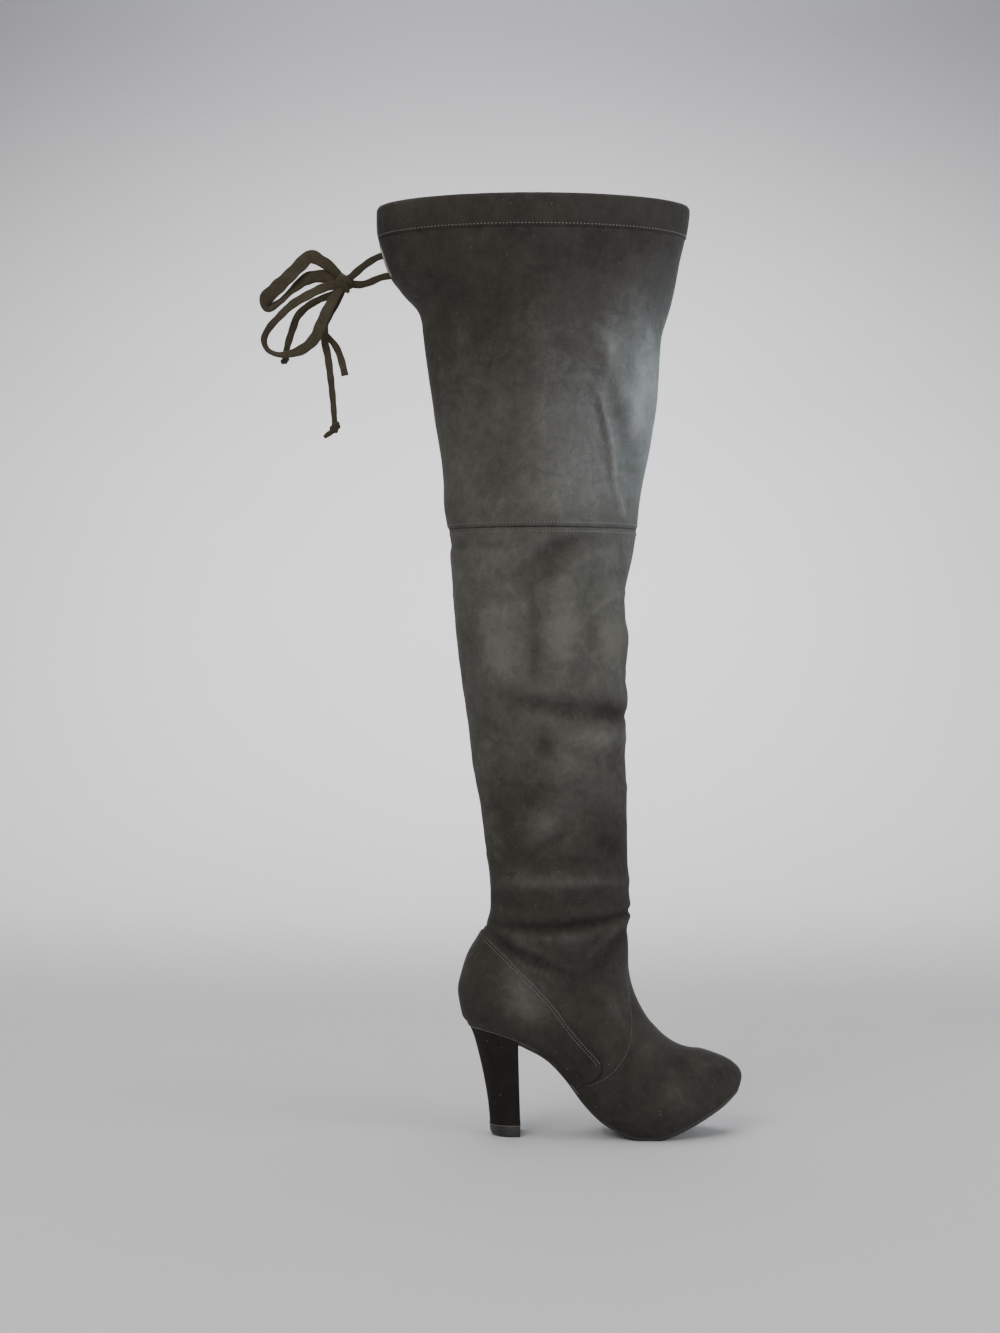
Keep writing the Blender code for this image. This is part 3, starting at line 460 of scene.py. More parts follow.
def leg_columns():
    """The lower leg's rings in metres, in the same columns."""
    t = np.array(LEG_RINGS).T
    seat = HEEL_HEIGHT + OUTSOLE_THICKNESS + GAP
    back_z = seat + t[0] * (KNEE_HEIGHT - seat)
    front_z = seat + t[1] * (KNEE_HEIGHT - seat)
    centre = HEEL_BACK + t[2] * FOOT_LENGTH
    depth = ANKLE_DEPTH + t[3] * (HEEL_DEPTH - ANKLE_DEPTH) + t[4] * (KNEE_DEPTH - ANKLE_DEPTH)
    side = (ANKLE_WIDTH + t[5] * (KNEE_WIDTH - ANKLE_WIDTH)) / 2
    none = np.zeros_like(side)
    middle = np.full_like(side, 0.5)
    return np.array([
        centre - depth / 2, back_z, centre + depth / 2, front_z, none, none,
        side, side, middle, t[6], t[7], none, none,
    ]).T


UPPER_COLUMNS = np.concatenate([foot_columns(), leg_columns()])
UPPER_COLUMNS[-1, [1, 3]] -= GAP / 2

# Rows of those columns: the last rib that is open underneath, the counter's ends, and the first level ring
LAST_OPEN_RIB = 21
COUNTER_ROWS = (9, 34)
FIRST_LEVEL_RING = 38
LAST_RING = len(UPPER_COLUMNS) - 1


def upper_columns(rows):
    """The upper's columns at any rows, also between the table's ribs and rings."""
    return through(np.arange(len(UPPER_COLUMNS)), UPPER_COLUMNS, rows)


def slit_half_width(z):
    """Half width of the slit at the back of the collar, with a round lower end."""
    up = np.clip((z - BOOT_HEIGHT + SLIT_DEPTH) / (SLIT_WIDTH / 2), 0, 1)
    return SLIT_WIDTH / 2 * np.sqrt(1 - (1 - up) ** 2)


def thigh_columns(z):
    """The thigh's level rings at heights z, in the same columns."""
    table = np.array(THIGH_RINGS)
    heights = KNEE_HEIGHT + table[:, 0] * (BOOT_HEIGHT - KNEE_HEIGHT)
    shares = through(heights, table[:, 1:], z)
    centre = HEEL_BACK + shares[:, 0] * FOOT_LENGTH
    depth = KNEE_DEPTH + shares[:, 1] * (COLLAR_DEPTH - KNEE_DEPTH)
    side = (KNEE_WIDTH + shares[:, 2] * (COLLAR_WIDTH - KNEE_WIDTH)) / 2
    slit = slit_half_width(z)
    none = np.zeros_like(side)
    one = np.ones_like(side)
    return np.array([
        centre - depth / 2, z, centre + depth / 2, z, slit, slit,
        side, side, one / 2, one, one, none, none,
    ]).T


def ribs(columns, v):
    """Points on each rib at the shares v, from -1 at the outer lower edge to 1 at the inner one.

    Round the rib an angle runs from the lower edge to half a turn at the top. The half
    width is the sine of it, and the climb from foot to top follows its cosine.
    """
    c = [column[:, None] for column in columns.T]
    foot_x, foot_z, top_x, top_z, edge_out, edge_in, side_out, side_in = c[:8]
    widest, low, high, nose, swing = c[8:]
    v = np.asarray(v)[None, :]
    edge = np.clip(np.where(v < 0, edge_out, edge_in), 0, None)
    side = np.where(v < 0, side_out, side_in)
    share = np.divide(edge, side, out=np.full_like(edge, NOSE_SHARE), where=side > 1e-6)
    first = np.arcsin(np.clip(share, 0, 0.999) ** (1 / low))
    angle = first + (math.pi - first) * (1 - np.abs(v))
    lower = angle < math.pi / 2
    sine = np.clip(np.sin(angle), 0, 1)
    half = side * sine ** np.where(lower, low, high)
    under = widest * (1 - np.cos(angle) / np.cos(first))
    over = widest - (1 - widest) * np.cos(angle)
    climb = np.where(lower, under, over)
    run_x = top_x - foot_x
    run_z = top_z - foot_z
    length = np.hypot(run_x, run_z)
    belly = nose * 4 * climb * (1 - climb)
    x = foot_x + run_x * climb + belly * run_z / length
    y = swing + np.sign(v) * half
    z = foot_z + run_z * climb - belly * run_x / length
    return np.stack([x, y, z], axis=2)


def even_rows(start, end, count):
    """Rows of the upper between two of its table's rows, spread evenly along its sides."""
    fine = np.linspace(start, end, 1200)
    line = ribs(upper_columns(fine), [-0.6, 0.0]).mean(axis=1)
    along = along_of(line) + 0.00015 * np.arange(len(fine))
    return np.interp(np.linspace(0, along[-1], count), along, fine)


def welded(name, points):
    """A mesh through a grid of points, with its doubles merged."""
    rows, across = points.shape[:2]
    index = np.arange(rows * across).reshape(rows, across)
    quads = np.stack([index[:-1, :-1], index[:-1, 1:], index[1:, 1:], index[1:, :-1]], axis=2)
    mesh = bpy.data.meshes.new(name)
    mesh.from_pydata(points.reshape(-1, 3), [], quads.reshape(-1, 4))
    form = bmesh.new()
    form.from_mesh(mesh)
    bmesh.ops.remove_doubles(form, verts=form.verts[:], dist=MERGE)
    form.to_mesh(mesh)
    form.free()
    return mesh


def outwards(mesh):
    """Turns a closed mesh's faces out."""
    form = bmesh.new()
    form.from_mesh(mesh)
    bmesh.ops.recalc_face_normals(form, faces=form.faces[:])
    form.to_mesh(mesh)
    form.free()


def capped(name, grid):
    """A closed mesh through a grid of rings, each end drawn in to the middle of its ring."""
    ends = [np.broadcast_to(grid[i].mean(axis=0), grid[i].shape)[None] for i in (0, -1)]
    mesh = welded(name, np.concatenate([ends[0], grid, ends[1]]))
    outwards(mesh)
    return mesh


def points_of(mesh, what="co"):
    """The mesh's points, or their normals, as an array."""
    found = np.empty(len(mesh.vertices) * 3, np.float32)
    mesh.vertices.foreach_get(what, found)
    return found.reshape(-1, 3).astype(float)


def set_points(mesh, points):
    """Puts an array into the mesh's points."""
    mesh.vertices.foreach_set("co", points.astype(np.float32).ravel())
    mesh.update()


def move_out(mesh, height):
    """Moves each point along its normal by its height."""
    set_points(mesh, points_of(mesh) + points_of(mesh, "normal") * height[:, None])


def store_looks(mesh, points, height=0, seam=FAR_FROM_SEAM):
    """Stores the distance to a seam in millimetres, and the tone with its painted light and shade, for the
    materials.
    """
    for name, values in (("seam", np.zeros(len(points)) + seam), ("nap_and_painted_light", nap_and_painted_light(points, height))):
        found = mesh.attributes.new(name, "FLOAT", "POINT")
        found.data.foreach_set("value", values.astype(np.float32))


def in_scene(name, data):
    """A new object in the scene."""
    obj = bpy.data.objects.new(name, data)
    bpy.context.scene.collection.objects.link(obj)
    return obj


def piece(name, mesh, finishes, slot, *replaced):
    """A finished piece on the boot, with its materials."""
    obj = in_scene(name, mesh)
    for finish in finishes:
        mesh.materials.append(finish)
    mesh.shade_smooth()
    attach(obj, "root")
    if replaced:
        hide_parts(*replaced)
    return obj


def solidify(obj, wall, lining=0, offset=-1):
    """A wall on an open surface; its inner face takes the material lining slots further on.

    The wall thins to nothing at the lower rim behind the heel, where it would fold over itself.
    """
    points = points_of(obj.data)
    share = smooth_step(points[:, 2] - seat_height(points[:, 0]), 0.002, 0.007)
    share = np.maximum(share, smooth_step(points[:, 0], -0.026, -0.018))
    steps = np.round(share * 10)
    thickness = obj.vertex_groups.new(name="wall")
    for step in range(11):
        thickness.add(np.flatnonzero(steps == step).tolist(), step / 10, "REPLACE")
    wall_of = obj.modifiers.new("Wall", "SOLIDIFY")
    wall_of.vertex_group = "wall"
    wall_of.thickness_vertex_group = 0.05
    wall_of.thickness = wall
    wall_of.offset = offset
    wall_of.material_offset = lining
    return obj


def bezier(start, end, bow, count=28):
    """A bowed path between two points of a plane: a parabola whose middle stands bow to the left."""
    start = np.asarray(start, float)
    end = np.asarray(end, float)
    t = np.linspace(0, 1, count)[:, None]
    way = end - start
    left = np.array([-way[1], way[0]]) / max(np.linalg.norm(way), 1e-9)
    return start + way * t + left * bow * 4 * t * (1 - t)


def side_share(y, side):
    """How much a point belongs to a side of the boot: 1 on it, 0 on the other, both for side 0."""
    if side == 0:
        return np.ones_like(y)
    return smooth_step(y * side, -0.006, 0.006)


def folds(points):
    """Height in metres of all folds: a bell curve of the distance to each path, tapered at both ends."""
    height = np.zeros(len(points))
    flat = points[:, [0, 2]] * 1000
    for x0, z0, x1, z1, bow, width, rise, side in FOLDS:
        path = bezier((x0, z0), (x1, z1), bow)
        reach = 3 * width + abs(bow)
        near = np.all((flat > path.min(0) - reach) & (flat < path.max(0) + reach), axis=1)
        gaps = np.linalg.norm(flat[near][:, None, :] - path[None], axis=2)
        nearest = gaps.argmin(axis=1)
        along = nearest / (len(path) - 1)
        taper = np.clip(np.sin(math.pi * (0.06 + 0.88 * along)), 0, 1) ** 0.6
        bell = np.exp(-((gaps.min(axis=1) / (width * (0.55 + 0.45 * taper))) ** 2))
        height[near] += rise * 0.001 * taper * bell * side_share(points[near, 1], side)
    return height


def ripple(points, size, seed):
    """Soft lumps about one size across: a sum of slanted sine waves, from -1 to 1."""
    spread = np.random.default_rng(seed)
    total = np.zeros(len(points))
    for _ in range(7):
        way = spread.normal(size=3)
        way /= np.linalg.norm(way)
        wave = 2 * math.pi / (size * spread.uniform(0.7, 1.6))
        total += np.sin(points @ way * wave + spread.uniform(0, 2 * math.pi))
    return total / 4


def creases(points, size, seed):
    """Fine crossing creases: a narrow ridge wherever the soft lumps pass nought, from 0 to 1."""
    return np.exp(-((ripple(points, size, seed) / 0.13) ** 2))


def nap_and_painted_light(points, height=0):
    """Painted light and shade by height and on each fold, paler on ridges and darker in troughs,
    and soft leaning ovals: partly the pile lying another way, partly painted glare and shade.
    """
    x = points[:, 0] * 1000
    z = points[:, 2] * 1000
    table = np.array(PAINTED_LIGHT_BY_HEIGHT)
    light = through(table[:, 0], table[:, 1], z) + FOLD_LIGHT_AND_SHADE * height
    for px, pz, half_length, half_height, lean, strength, side in NAP_AND_PAINTED_LIGHT_PATCHES:
        across = (x - px) / half_length
        up = (z - pz - lean * across) / half_height
        light += PATCH_LIGHT_SHARE * strength * np.exp(-(across**2 + up**2)) * side_share(points[:, 1], side)
    return light


# Surface lookups


def dense_surface():
    """The upper's surface as a dense cloud of points with their normals, outer and inner half."""
    rows = even_rows(2, LAST_RING, 900)
    v = np.linspace(-0.999, 0.999, 401)
    grid = ribs(upper_columns(rows), v)
    along = np.gradient(grid, axis=0)
    across = np.gradient(grid, axis=1)
    normal = np.cross(across, along)
    normal /= np.linalg.norm(normal, axis=2)[..., None] + 1e-12
    return grid.reshape(-1, 3), normal.reshape(-1, 3)


def even_line(points, spacing):
    """A polyline resampled at an even spacing."""
    points = np.asarray(points, float)
    along = along_of(points)
    count = max(2, round(along[-1] / spacing) + 1)
    return through(along, points, np.linspace(0, along[-1], count))


def on_surface(cloud, side_view, side):
    """The surface's points and normals nearest to a line drawn in the side view, on one side."""
    points, normals = cloud
    half = points[:, 1] * side > -0.0005
    points = points[half]
    normals = normals[half]
    gaps = [np.hypot(points[:, 0] - x, points[:, 2] - z).argmin() for x, z in side_view]
    return points[gaps], normals[gaps]


def distance_to(points, line):
    """Distance of each point to a polyline in space."""
    best = np.full(len(points), 1e3)
    for a, b in zip(line, line[1:]):
        way = b - a
        share = np.clip((points - a) @ way / (way @ way + 1e-15), 0, 1)
        best = np.minimum(best, np.linalg.norm(points - a - share[:, None] * way, axis=1))
    return best


def softened(line, rounds=2):
    """A polyline with each inner point drawn to the mean of its neighbours."""
    line = np.array(line)
    for _ in range(rounds):
        line[1:-1] = (line[:-2] + 2 * line[1:-1] + line[2:]) / 4
    return line


# Materials


def shader(name, roughness, specular=0.5, sheen=0.0, sheen_roughness=0.5, sheen_tint=(1, 1, 1)):
    """A Principled material and the parts that the looks are built from."""
    found = bpy.data.materials.new(name)
    found.use_nodes = True
    tree = found.node_tree
    main = tree.nodes["Principled BSDF"]
    main.inputs["Roughness"].default_value = roughness
    main.inputs["Specular IOR Level"].default_value = specular
    main.inputs["Sheen Weight"].default_value = sheen
    main.inputs["Sheen Roughness"].default_value = sheen_roughness
    main.inputs["Sheen Tint"].default_value = (*sheen_tint, 1)
    place = tree.nodes.new("ShaderNodeTexCoord")
    return found, tree, main, place.outputs["Object"]


def noise(tree, place, scale, detail=2.0, rough=0.5, stretch=None, distortion=0.0):
    """Noise on the piece's own place, stretched where a fibre runs one way."""
    if stretch is not None:
        mapping = tree.nodes.new("ShaderNodeMapping")
        mapping.inputs["Scale"].default_value = stretch
        tree.links.new(place, mapping.inputs["Vector"])
        place = mapping.outputs["Vector"]
    found = tree.nodes.new("ShaderNodeTexNoise")
    found.inputs["Scale"].default_value = scale
    found.inputs["Detail"].default_value = detail
    found.inputs["Roughness"].default_value = rough
    found.inputs["Distortion"].default_value = distortion
    tree.links.new(place, found.inputs["Vector"])
    return found.outputs["Fac"]


def attribute(tree, name):
    """A number stored on the piece's points."""
    found = tree.nodes.new("ShaderNodeAttribute")
    found.attribute_name = name
    return found.outputs["Fac"]


def fit(tree, value, low, high, new_low, new_high, smooth=False):
    """A value carried from one range to another, and held inside it."""
    found = tree.nodes.new("ShaderNodeMapRange")
    found.interpolation_type = "SMOOTHSTEP" if smooth else "LINEAR"
    found.inputs["From Min"].default_value = low
    found.inputs["From Max"].default_value = high
    found.inputs["To Min"].default_value = new_low
    found.inputs["To Max"].default_value = new_high
    tree.links.new(value, found.inputs["Value"])
    return found.outputs["Result"]


def join(tree, operation, first, second):
    """Two values, or a value and a number, put together."""
    found = tree.nodes.new("ShaderNodeMath")
    found.operation = operation
    for i, value in enumerate((first, second)):
        if isinstance(value, (int, float)):
            found.inputs[i].default_value = value
        else:
            tree.links.new(value, found.inputs[i])
    return found.outputs[0]


def ramp(tree, value, *stops):
    """Colours along a value: stops are (place, colour)."""
    found = tree.nodes.new("ShaderNodeValToRGB")
    line = found.color_ramp
    while len(line.elements) < len(stops):
        line.elements.new(0.5)
    for element, (at, colour) in zip(line.elements, stops):
        element.position = at
        element.color = (*colour, 1)
    tree.links.new(value, found.inputs["Fac"])
    return found.outputs["Color"]


def bump(tree, value, depth, strength=1.0, under=None):
    """A bump of a real depth in metres, on top of another."""
    found = tree.nodes.new("ShaderNodeBump")
    found.inputs["Strength"].default_value = strength
    found.inputs["Distance"].default_value = depth
    tree.links.new(value, found.inputs["Height"])
    if under is not None:
        tree.links.new(under, found.inputs["Normal"])
    return found.outputs["Normal"]


def shade(colour, gain):
    """A colour made paler or darker."""
    return tuple(c * gain for c in colour)


def lit_and_brushed(colour, gain):
    """A paler tone for the brushed pile and its painted light, a little less red than the rest."""
    return (colour[0] * gain * 0.94, colour[1] * gain * 1.01, colour[2] * gain * 1.03)


def suede(name, colour, contrast=1.0, with_seams=True):
    """Brushed microsuede: a mottled pile of two sizes, fine fibres, pale lint, and grooves along the seams.

    The seams' grooves get painted shade, and the stored tone on the points adds painted light and shade.
    """
    found, tree, main, place = shader(name, 0.95, 0.14, 0.10, 0.35, (0.88, 0.90, 0.96))
    broad = noise(tree, place, 22, 3, 0.55, distortion=0.6)
    cloud = noise(tree, place, 46, 5, 0.66, distortion=0.9)
    small = noise(tree, place, 95, 4, 0.6, distortion=0.8)
    fibre = noise(tree, place, 900, 2, 0.6)
    hair = noise(tree, place, 260, 3, 0.6, (1.0, 1.0, 0.6))
    middle = 0.42
    light = fit(tree, broad, 0.3, 0.7, -0.075, 0.075)
    light = join(tree, "ADD", light, fit(tree, small, 0.3, 0.7, -0.07, 0.07))
    light = join(tree, "ADD", light, fit(tree, cloud, 0.32, 0.68, -0.07, 0.07))
    light = join(tree, "ADD", light, fit(tree, hair, 0.25, 0.75, -0.05, 0.05))
    light = join(tree, "ADD", light, fit(tree, fibre, 0.2, 0.8, -0.07, 0.07))
    light = join(tree, "MULTIPLY", light, contrast)
    if with_seams:
        # Painted light and shade from the points' stored tone: paler mid-leg, on fold ridges and in the
        # thigh's glare, darker low, high and in fold troughs
        light = join(tree, "ADD", light, join(tree, "MULTIPLY", attribute(tree, "nap_and_painted_light"), 0.34))
    light = join(tree, "ADD", light, middle)
    tone = ramp(
        tree, light,
        (0.0, shade(colour, 0.40)),
        (middle, colour),
        (0.75, lit_and_brushed(colour, 1.9)),
        (1.0, lit_and_brushed(colour, 2.9)),
    )
    lint = fit(tree, noise(tree, place, 620, 1, 0.4), 0.765, 0.80, 0.0, 0.50)
    speck = tree.nodes.new("ShaderNodeMix")
    speck.data_type = "RGBA"
    tree.links.new(lint, speck.inputs["Factor"])
    tree.links.new(tone, speck.inputs["A"])
    speck.inputs["B"].default_value = (0.20, 0.19, 0.17, 1)
    colour_out = speck.outputs["Result"]
    height = bump(tree, fibre, 0.00025, 0.5)
    height = bump(tree, hair, 0.0005, 0.4, height)
    height = bump(tree, small, 0.0012, 0.35, height)
    if with_seams:
        seam = join(tree, "ABSOLUTE", attribute(tree, "seam"), 0)
        groove = fit(tree, seam, 0.0, 0.9, 0.0, 1.0, True)
        height = bump(tree, groove, 0.0006, 1.0, height)
        shadow = tree.nodes.new("ShaderNodeMix")
        shadow.data_type = "RGBA"
        shadow.blend_type = "MULTIPLY"
        shadow.inputs["Factor"].default_value = 1.0
        tree.links.new(colour_out, shadow.inputs["A"])
        dark = ramp(tree, fit(tree, seam, 0.1, 0.7, 0, 1, True), (0.0, (0.55, 0.55, 0.55)), (1.0, (1, 1, 1)))
        tree.links.new(dark, shadow.inputs["B"])
        colour_out = shadow.outputs["Result"]
    tree.links.new(colour_out, main.inputs["Base Color"])
    tree.links.new(height, main.inputs["Normal"])
    return found


def woven(name, colour):
    """Matte lining cloth: a fine over and under weave."""
    found, tree, main, place = shader(name, 0.85, 0.3, 0.15)
    threads = noise(tree, place, 700, 2, 0.5, (1.0, 1.0, 0.4))
    broad = noise(tree, place, 35, 2, 0.5)
    light = fit(tree, threads, 0.3, 0.7, 0.3, 0.7)
    light = join(tree, "ADD", light, fit(tree, broad, 0.3, 0.7, -0.2, 0.2))
    tone = ramp(tree, light, (0, shade(colour, 0.5)), (1, shade(colour, 1.7)))
    tree.links.new(tone, main.inputs["Base Color"])
    tree.links.new(bump(tree, threads, 0.0003, 0.5), main.inputs["Normal"])
    return found


def rubber(name, colour, roughness):
    """Moulded rubber with a fine grain and rubbed patches."""
    found, tree, main, place = shader(name, roughness, 0.5)
    grain = noise(tree, place, 1200, 2, 0.5)
    rub = noise(tree, place, 60, 3, 0.6)
    tone = ramp(tree, rub, (0.3, shade(colour, 0.7)), (0.75, shade(colour, 2.2)))
    tree.links.new(tone, main.inputs["Base Color"])
    tree.links.new(fit(tree, rub, 0.3, 0.7, roughness - 0.1, roughness + 0.2), main.inputs["Roughness"])
    tree.links.new(bump(tree, grain, 0.0002, 0.4), main.inputs["Normal"])
    return found


def thread(name, colour):
    """Stitching thread with a twist and a soft shine."""
    found, tree, main, place = shader(name, 0.6, 0.4, 0.3)
    strands = noise(tree, place, 2500, 1, 0.5)
    tone = ramp(tree, strands, (0.3, shade(colour, 0.6)), (0.7, shade(colour, 1.4)))
    tree.links.new(tone, main.inputs["Base Color"])
    return found


SUEDE = suede("black_microsuede", (0.044, 0.040, 0.0345))
HEEL_SUEDE = suede("heel_microsuede", (0.017, 0.0145, 0.0125), 0.8, False)
LACE_SUEDE = suede("lace_microsuede", (0.052, 0.043, 0.029), 0.8, False)
LINING = woven("lining_cloth", (0.020, 0.019, 0.018))
SOLE_RUBBER = rubber("sole_rubber", (0.014, 0.013, 0.012), 0.45)
LIFT_RUBBER = rubber("top_lift_rubber", (0.015, 0.0145, 0.0135), 0.36)
# Stitch thread paler than the suede: partly the thread's own tone, partly painted highlight on the stitch
# dots
THREAD = thread("stitch_thread", (0.125, 0.116, 0.100))
# Pale colour for the upper's turned edge, and for the painted highlight ring on the top lift
EDGE_AND_HIGHLIGHT_THREAD = thread("turned_edge_and_highlight", (0.085, 0.078, 0.066))
PALE_THREAD = thread("bar_tack_thread", (0.42, 0.41, 0.38))

# Camera

camera_data = bpy.data.cameras.new("camera")
camera_data.sensor_width = 36
camera_data.lens = LENS
camera_data.shift_y = LENS_SHIFT
camera = in_scene("camera", camera_data)
camera.location = (VIEW_MIDDLE, -VIEW_DISTANCE, VIEW_HEIGHT)
camera.rotation_euler = (math.pi / 2, 0, 0)
bpy.context.scene.camera = camera

# Bow at the back of the collar

LOWER_LOOP = (
    (-0.1480, -0.0060, 0.6850),
    (-0.1600, -0.0070, 0.6790),
    (-0.1720, -0.0070, 0.6720),
    (-0.1840, -0.0065, 0.6610),
    (-0.1920, -0.0060, 0.6520),
    (-0.1960, -0.0055, 0.6430),
    (-0.1935, -0.0050, 0.6355),
    (-0.1860, -0.0045, 0.6315),
    (-0.1750, -0.0040, 0.6320),
    (-0.1660, -0.0040, 0.6350),
    (-0.1560, -0.0045, 0.6430),
    (-0.1500, -0.0050, 0.6550),
    (-0.1450, -0.0050, 0.6665),
    (-0.1390, -0.0040, 0.6780),
)
UPPER_LOOP = (
    (-0.1400, 0.0010, 0.7010),
    (-0.1490, 0.0020, 0.7075),
    (-0.1590, 0.0025, 0.7120),
    (-0.1680, 0.0030, 0.7045),
    (-0.1770, 0.0030, 0.6955),
    (-0.1880, 0.0030, 0.6850),
    (-0.1955, 0.0030, 0.6760),
    (-0.1940, 0.0045, 0.6710),
    (-0.1860, 0.0060, 0.6745),
    (-0.1740, 0.0068, 0.6855),
    (-0.1600, 0.0068, 0.6955),
    (-0.1480, 0.0058, 0.6965),
)
INNER_END = (
    (-0.1400, 0.0080, 0.6830),
    (-0.1520, 0.0080, 0.6780),
    (-0.1620, 0.0070, 0.6720),
    (-0.1700, 0.0060, 0.6635),
    (-0.1735, 0.0055, 0.6540),
    (-0.1770, 0.0050, 0.6430),
    (-0.1790, 0.0052, 0.6350),
    (-0.1797, 0.0052, 0.6300),
)
HANGING_END = (
    (-0.1360, 0.0060, 0.6790),
    (-0.1430, 0.0075, 0.6670),
    (-0.1480, 0.0075, 0.6560),
    (-0.1480, 0.0065, 0.6460),
    (-0.1455, 0.0055, 0.6340),
    (-0.1430, 0.0045, 0.6160),
    (-0.1408, 0.0040, 0.5960),
    (-0.1394, 0.0035, 0.5780),
    (-0.1391, 0.0034, 0.5745),
)
SHORT_END = (
    (-0.1443, 0.0063, 0.6460),
    (-0.1400, 0.0060, 0.6415),
    (-0.1360, 0.0055, 0.6340),
    (-0.1332, 0.0050, 0.6250),
    (-0.1310, 0.0045, 0.6155),
)
SHORT_START = (-0.1482, 0.0066, 0.6500)
FRAYED_TIP = (
    (-0.1400, 0.0034, 0.5712),
    (-0.1425, 0.0035, 0.5690),
    (-0.1455, 0.0037, 0.5672),
    (-0.1480, 0.0038, 0.5650),
)
OUTER_STRAND = (
    (-0.0960, -0.0014, 0.7125),
    (-0.1020, -0.0015, 0.7115),
    (-0.1080, -0.0018, 0.7085),
    (-0.1140, -0.0022, 0.7045),
    (-0.1200, -0.0024, 0.6995),
)
INNER_STRAND = (
    (-0.0930, 0.0014, 0.6960),
    (-0.0990, 0.0015, 0.6955),
    (-0.1050, 0.0018, 0.6935),
    (-0.1120, 0.0022, 0.6905),
    (-0.1190, 0.0024, 0.6890),
)


def in_knot(point):
    """The place just under the knot's surface on the way to a point."""
    centre = np.array(KNOT_CENTRE)
    way = np.array(point) - centre
    return centre + way / np.linalg.norm(way) * (KNOT_RADIUS - KNOT_OVERLAP)


def lace(name, route, width, thickness, turns, shares, slot, *replaced):
    """A flat lace: a rounded oblong carried along a smooth path, its face turned by a smooth run of angles.

    At angle 0 the face looks to the side, along Y; the edge direction is the path crossed with Y.
    The width follows a smooth run of shares of the lace's own width.
    """
    path = even_line(route, 0.0011)
    path = softened(path, 3)
    run = unit(np.gradient(path, axis=0))
    edge = unit(np.cross(run, [0, 1, 0]))
    face = np.cross(edge, run)
    turn = through(np.linspace(0, 1, len(turns)), np.radians(turns), np.linspace(0, 1, len(path)))[:, None]
    wide = edge * np.cos(turn) + face * np.sin(turn)
    thin = face * np.cos(turn) - edge * np.sin(turn)
    around = np.linspace(0, 2 * math.pi, 19)[:-1]
    c = np.sign(np.cos(around)) * np.abs(np.cos(around)) ** 0.75
    s = np.sign(np.sin(around)) * np.abs(np.sin(around)) ** 0.55
    wide_share = through(np.linspace(0, 1, len(shares)), shares, np.linspace(0, 1, len(path)))
    wave = (wide_share * (1 + 0.05 * np.sin(np.arange(len(path)) * 0.55)))[:, None, None]
    ring = path[:, None] + wide[:, None] * (c * width / 2)[None, :, None] * wave
    ring = ring + thin[:, None] * (s * thickness / 2)[None, :, None]
    mesh = capped(name, np.concatenate([ring, ring[:, :1]], axis=1))
    return piece(name, mesh, [LACE_SUEDE], slot, *replaced), path


def wrapped_knot(name, centre, size, lean, *replaced):
    """A pulled knot: a ball with three bands wound round it, as soft swells of its radius."""
    theta = np.linspace(0, math.pi, 33)[:, None]
    phi = np.linspace(0, 2 * math.pi, 49)[None, :]
    flat = np.sin(theta)
    ball = np.stack([flat * np.cos(phi), flat * np.sin(phi), np.cos(theta) + 0 * phi], axis=2)
    swell = np.zeros(ball.shape[:2])
    for axis, rise in (((0.9, 0.1, 0.4), 0.20), ((0.1, 0.3, 0.95), 0.16), ((-0.5, 0.5, 0.6), 0.14)):
        axis = np.array(axis) / np.linalg.norm(axis)
        off = ball @ axis
        swell += rise * (np.exp(-((off / 0.32) ** 2)) - 0.55 * np.exp(-(((np.abs(off) - 0.42) / 0.10) ** 2)))
    points = np.array(centre) + ball * (np.array(size) * (0.86 + swell)[..., None])
    points[..., 2] += (points[..., 0] - centre[0]) * lean
    mesh = welded(name, points)
    outwards(mesh)
    return piece(name, mesh, [LACE_SUEDE], "cord_suede", *replaced)


def free_lace(name, route, width, thickness, turns, shares, node):
    made, path = lace(name, route, width, thickness, turns, shares, "cord_suede", node)


def to_knot(route):
    """A loop's route, its two ends carried on into the knot."""
    return (in_knot(route[0]), *route, in_knot(route[-1]))


bow_knot = wrapped_knot("tied_knot", KNOT_CENTRE, (0.0072, 0.0066, 0.0080), -0.2, "bow_knot")
hanging_knot = wrapped_knot(
    "hanging_knot", (-0.1391, 0.0034, 0.5732), (0.0045, 0.0040, 0.0052), 0.3, "hanging_end_knot",
)
frayed_tip, _ = lace("frayed_tip", FRAYED_TIP, 0.0034, 0.0018, (0, 30), (1.5, 1.25, 1.3, 0.9), "cord_suede")
inner_knot = wrapped_knot(
    "inner_knot", (-0.1799, 0.0050, 0.6280), (0.0037, 0.0034, 0.0034), 0.3, "inner_end_knot",
)
free_lace(
    "lower_loop", to_knot(LOWER_LOOP), LOWER_LOOP_WIDTH, 0.0022,
    (20, 0, 15, 55, 10, 0, 20), (1.15, 1.2, 1.0, 1.0, 1.45, 1.5, 1.2),
    "bow_lower_loop",
)
free_lace(
    "upper_loop", to_knot(UPPER_LOOP), UPPER_LOOP_WIDTH, 0.0024,
    (20, 10, -18, 12, 50, 12, 20), (1.0, 1.55, 1.75, 1.7, 1.15, 1.65, 1.5),
    "bow_upper_loop",
)
free_lace(
    "inner_end", (in_knot(INNER_END[0]), *INNER_END), 0.0042, 0.0018,
    (10, 0, 10, 20), (1.25, 1.45, 1.5, 1.2),
    "bow_inner_end",
)
free_lace(
    "hanging_end", (in_knot(HANGING_END[0]), *HANGING_END), 0.0040, 0.0020,
    (10, 0, 15, 5), (1.5, 1.6, 1.45, 1.15),
    "bow_hanging_end",
)
free_lace(
    "short_end", (SHORT_START, *SHORT_END), 0.0040, 0.0020,
    (10, 0, 10), (1.3, 1.45, 1.5),
    "bow_short_end",
)
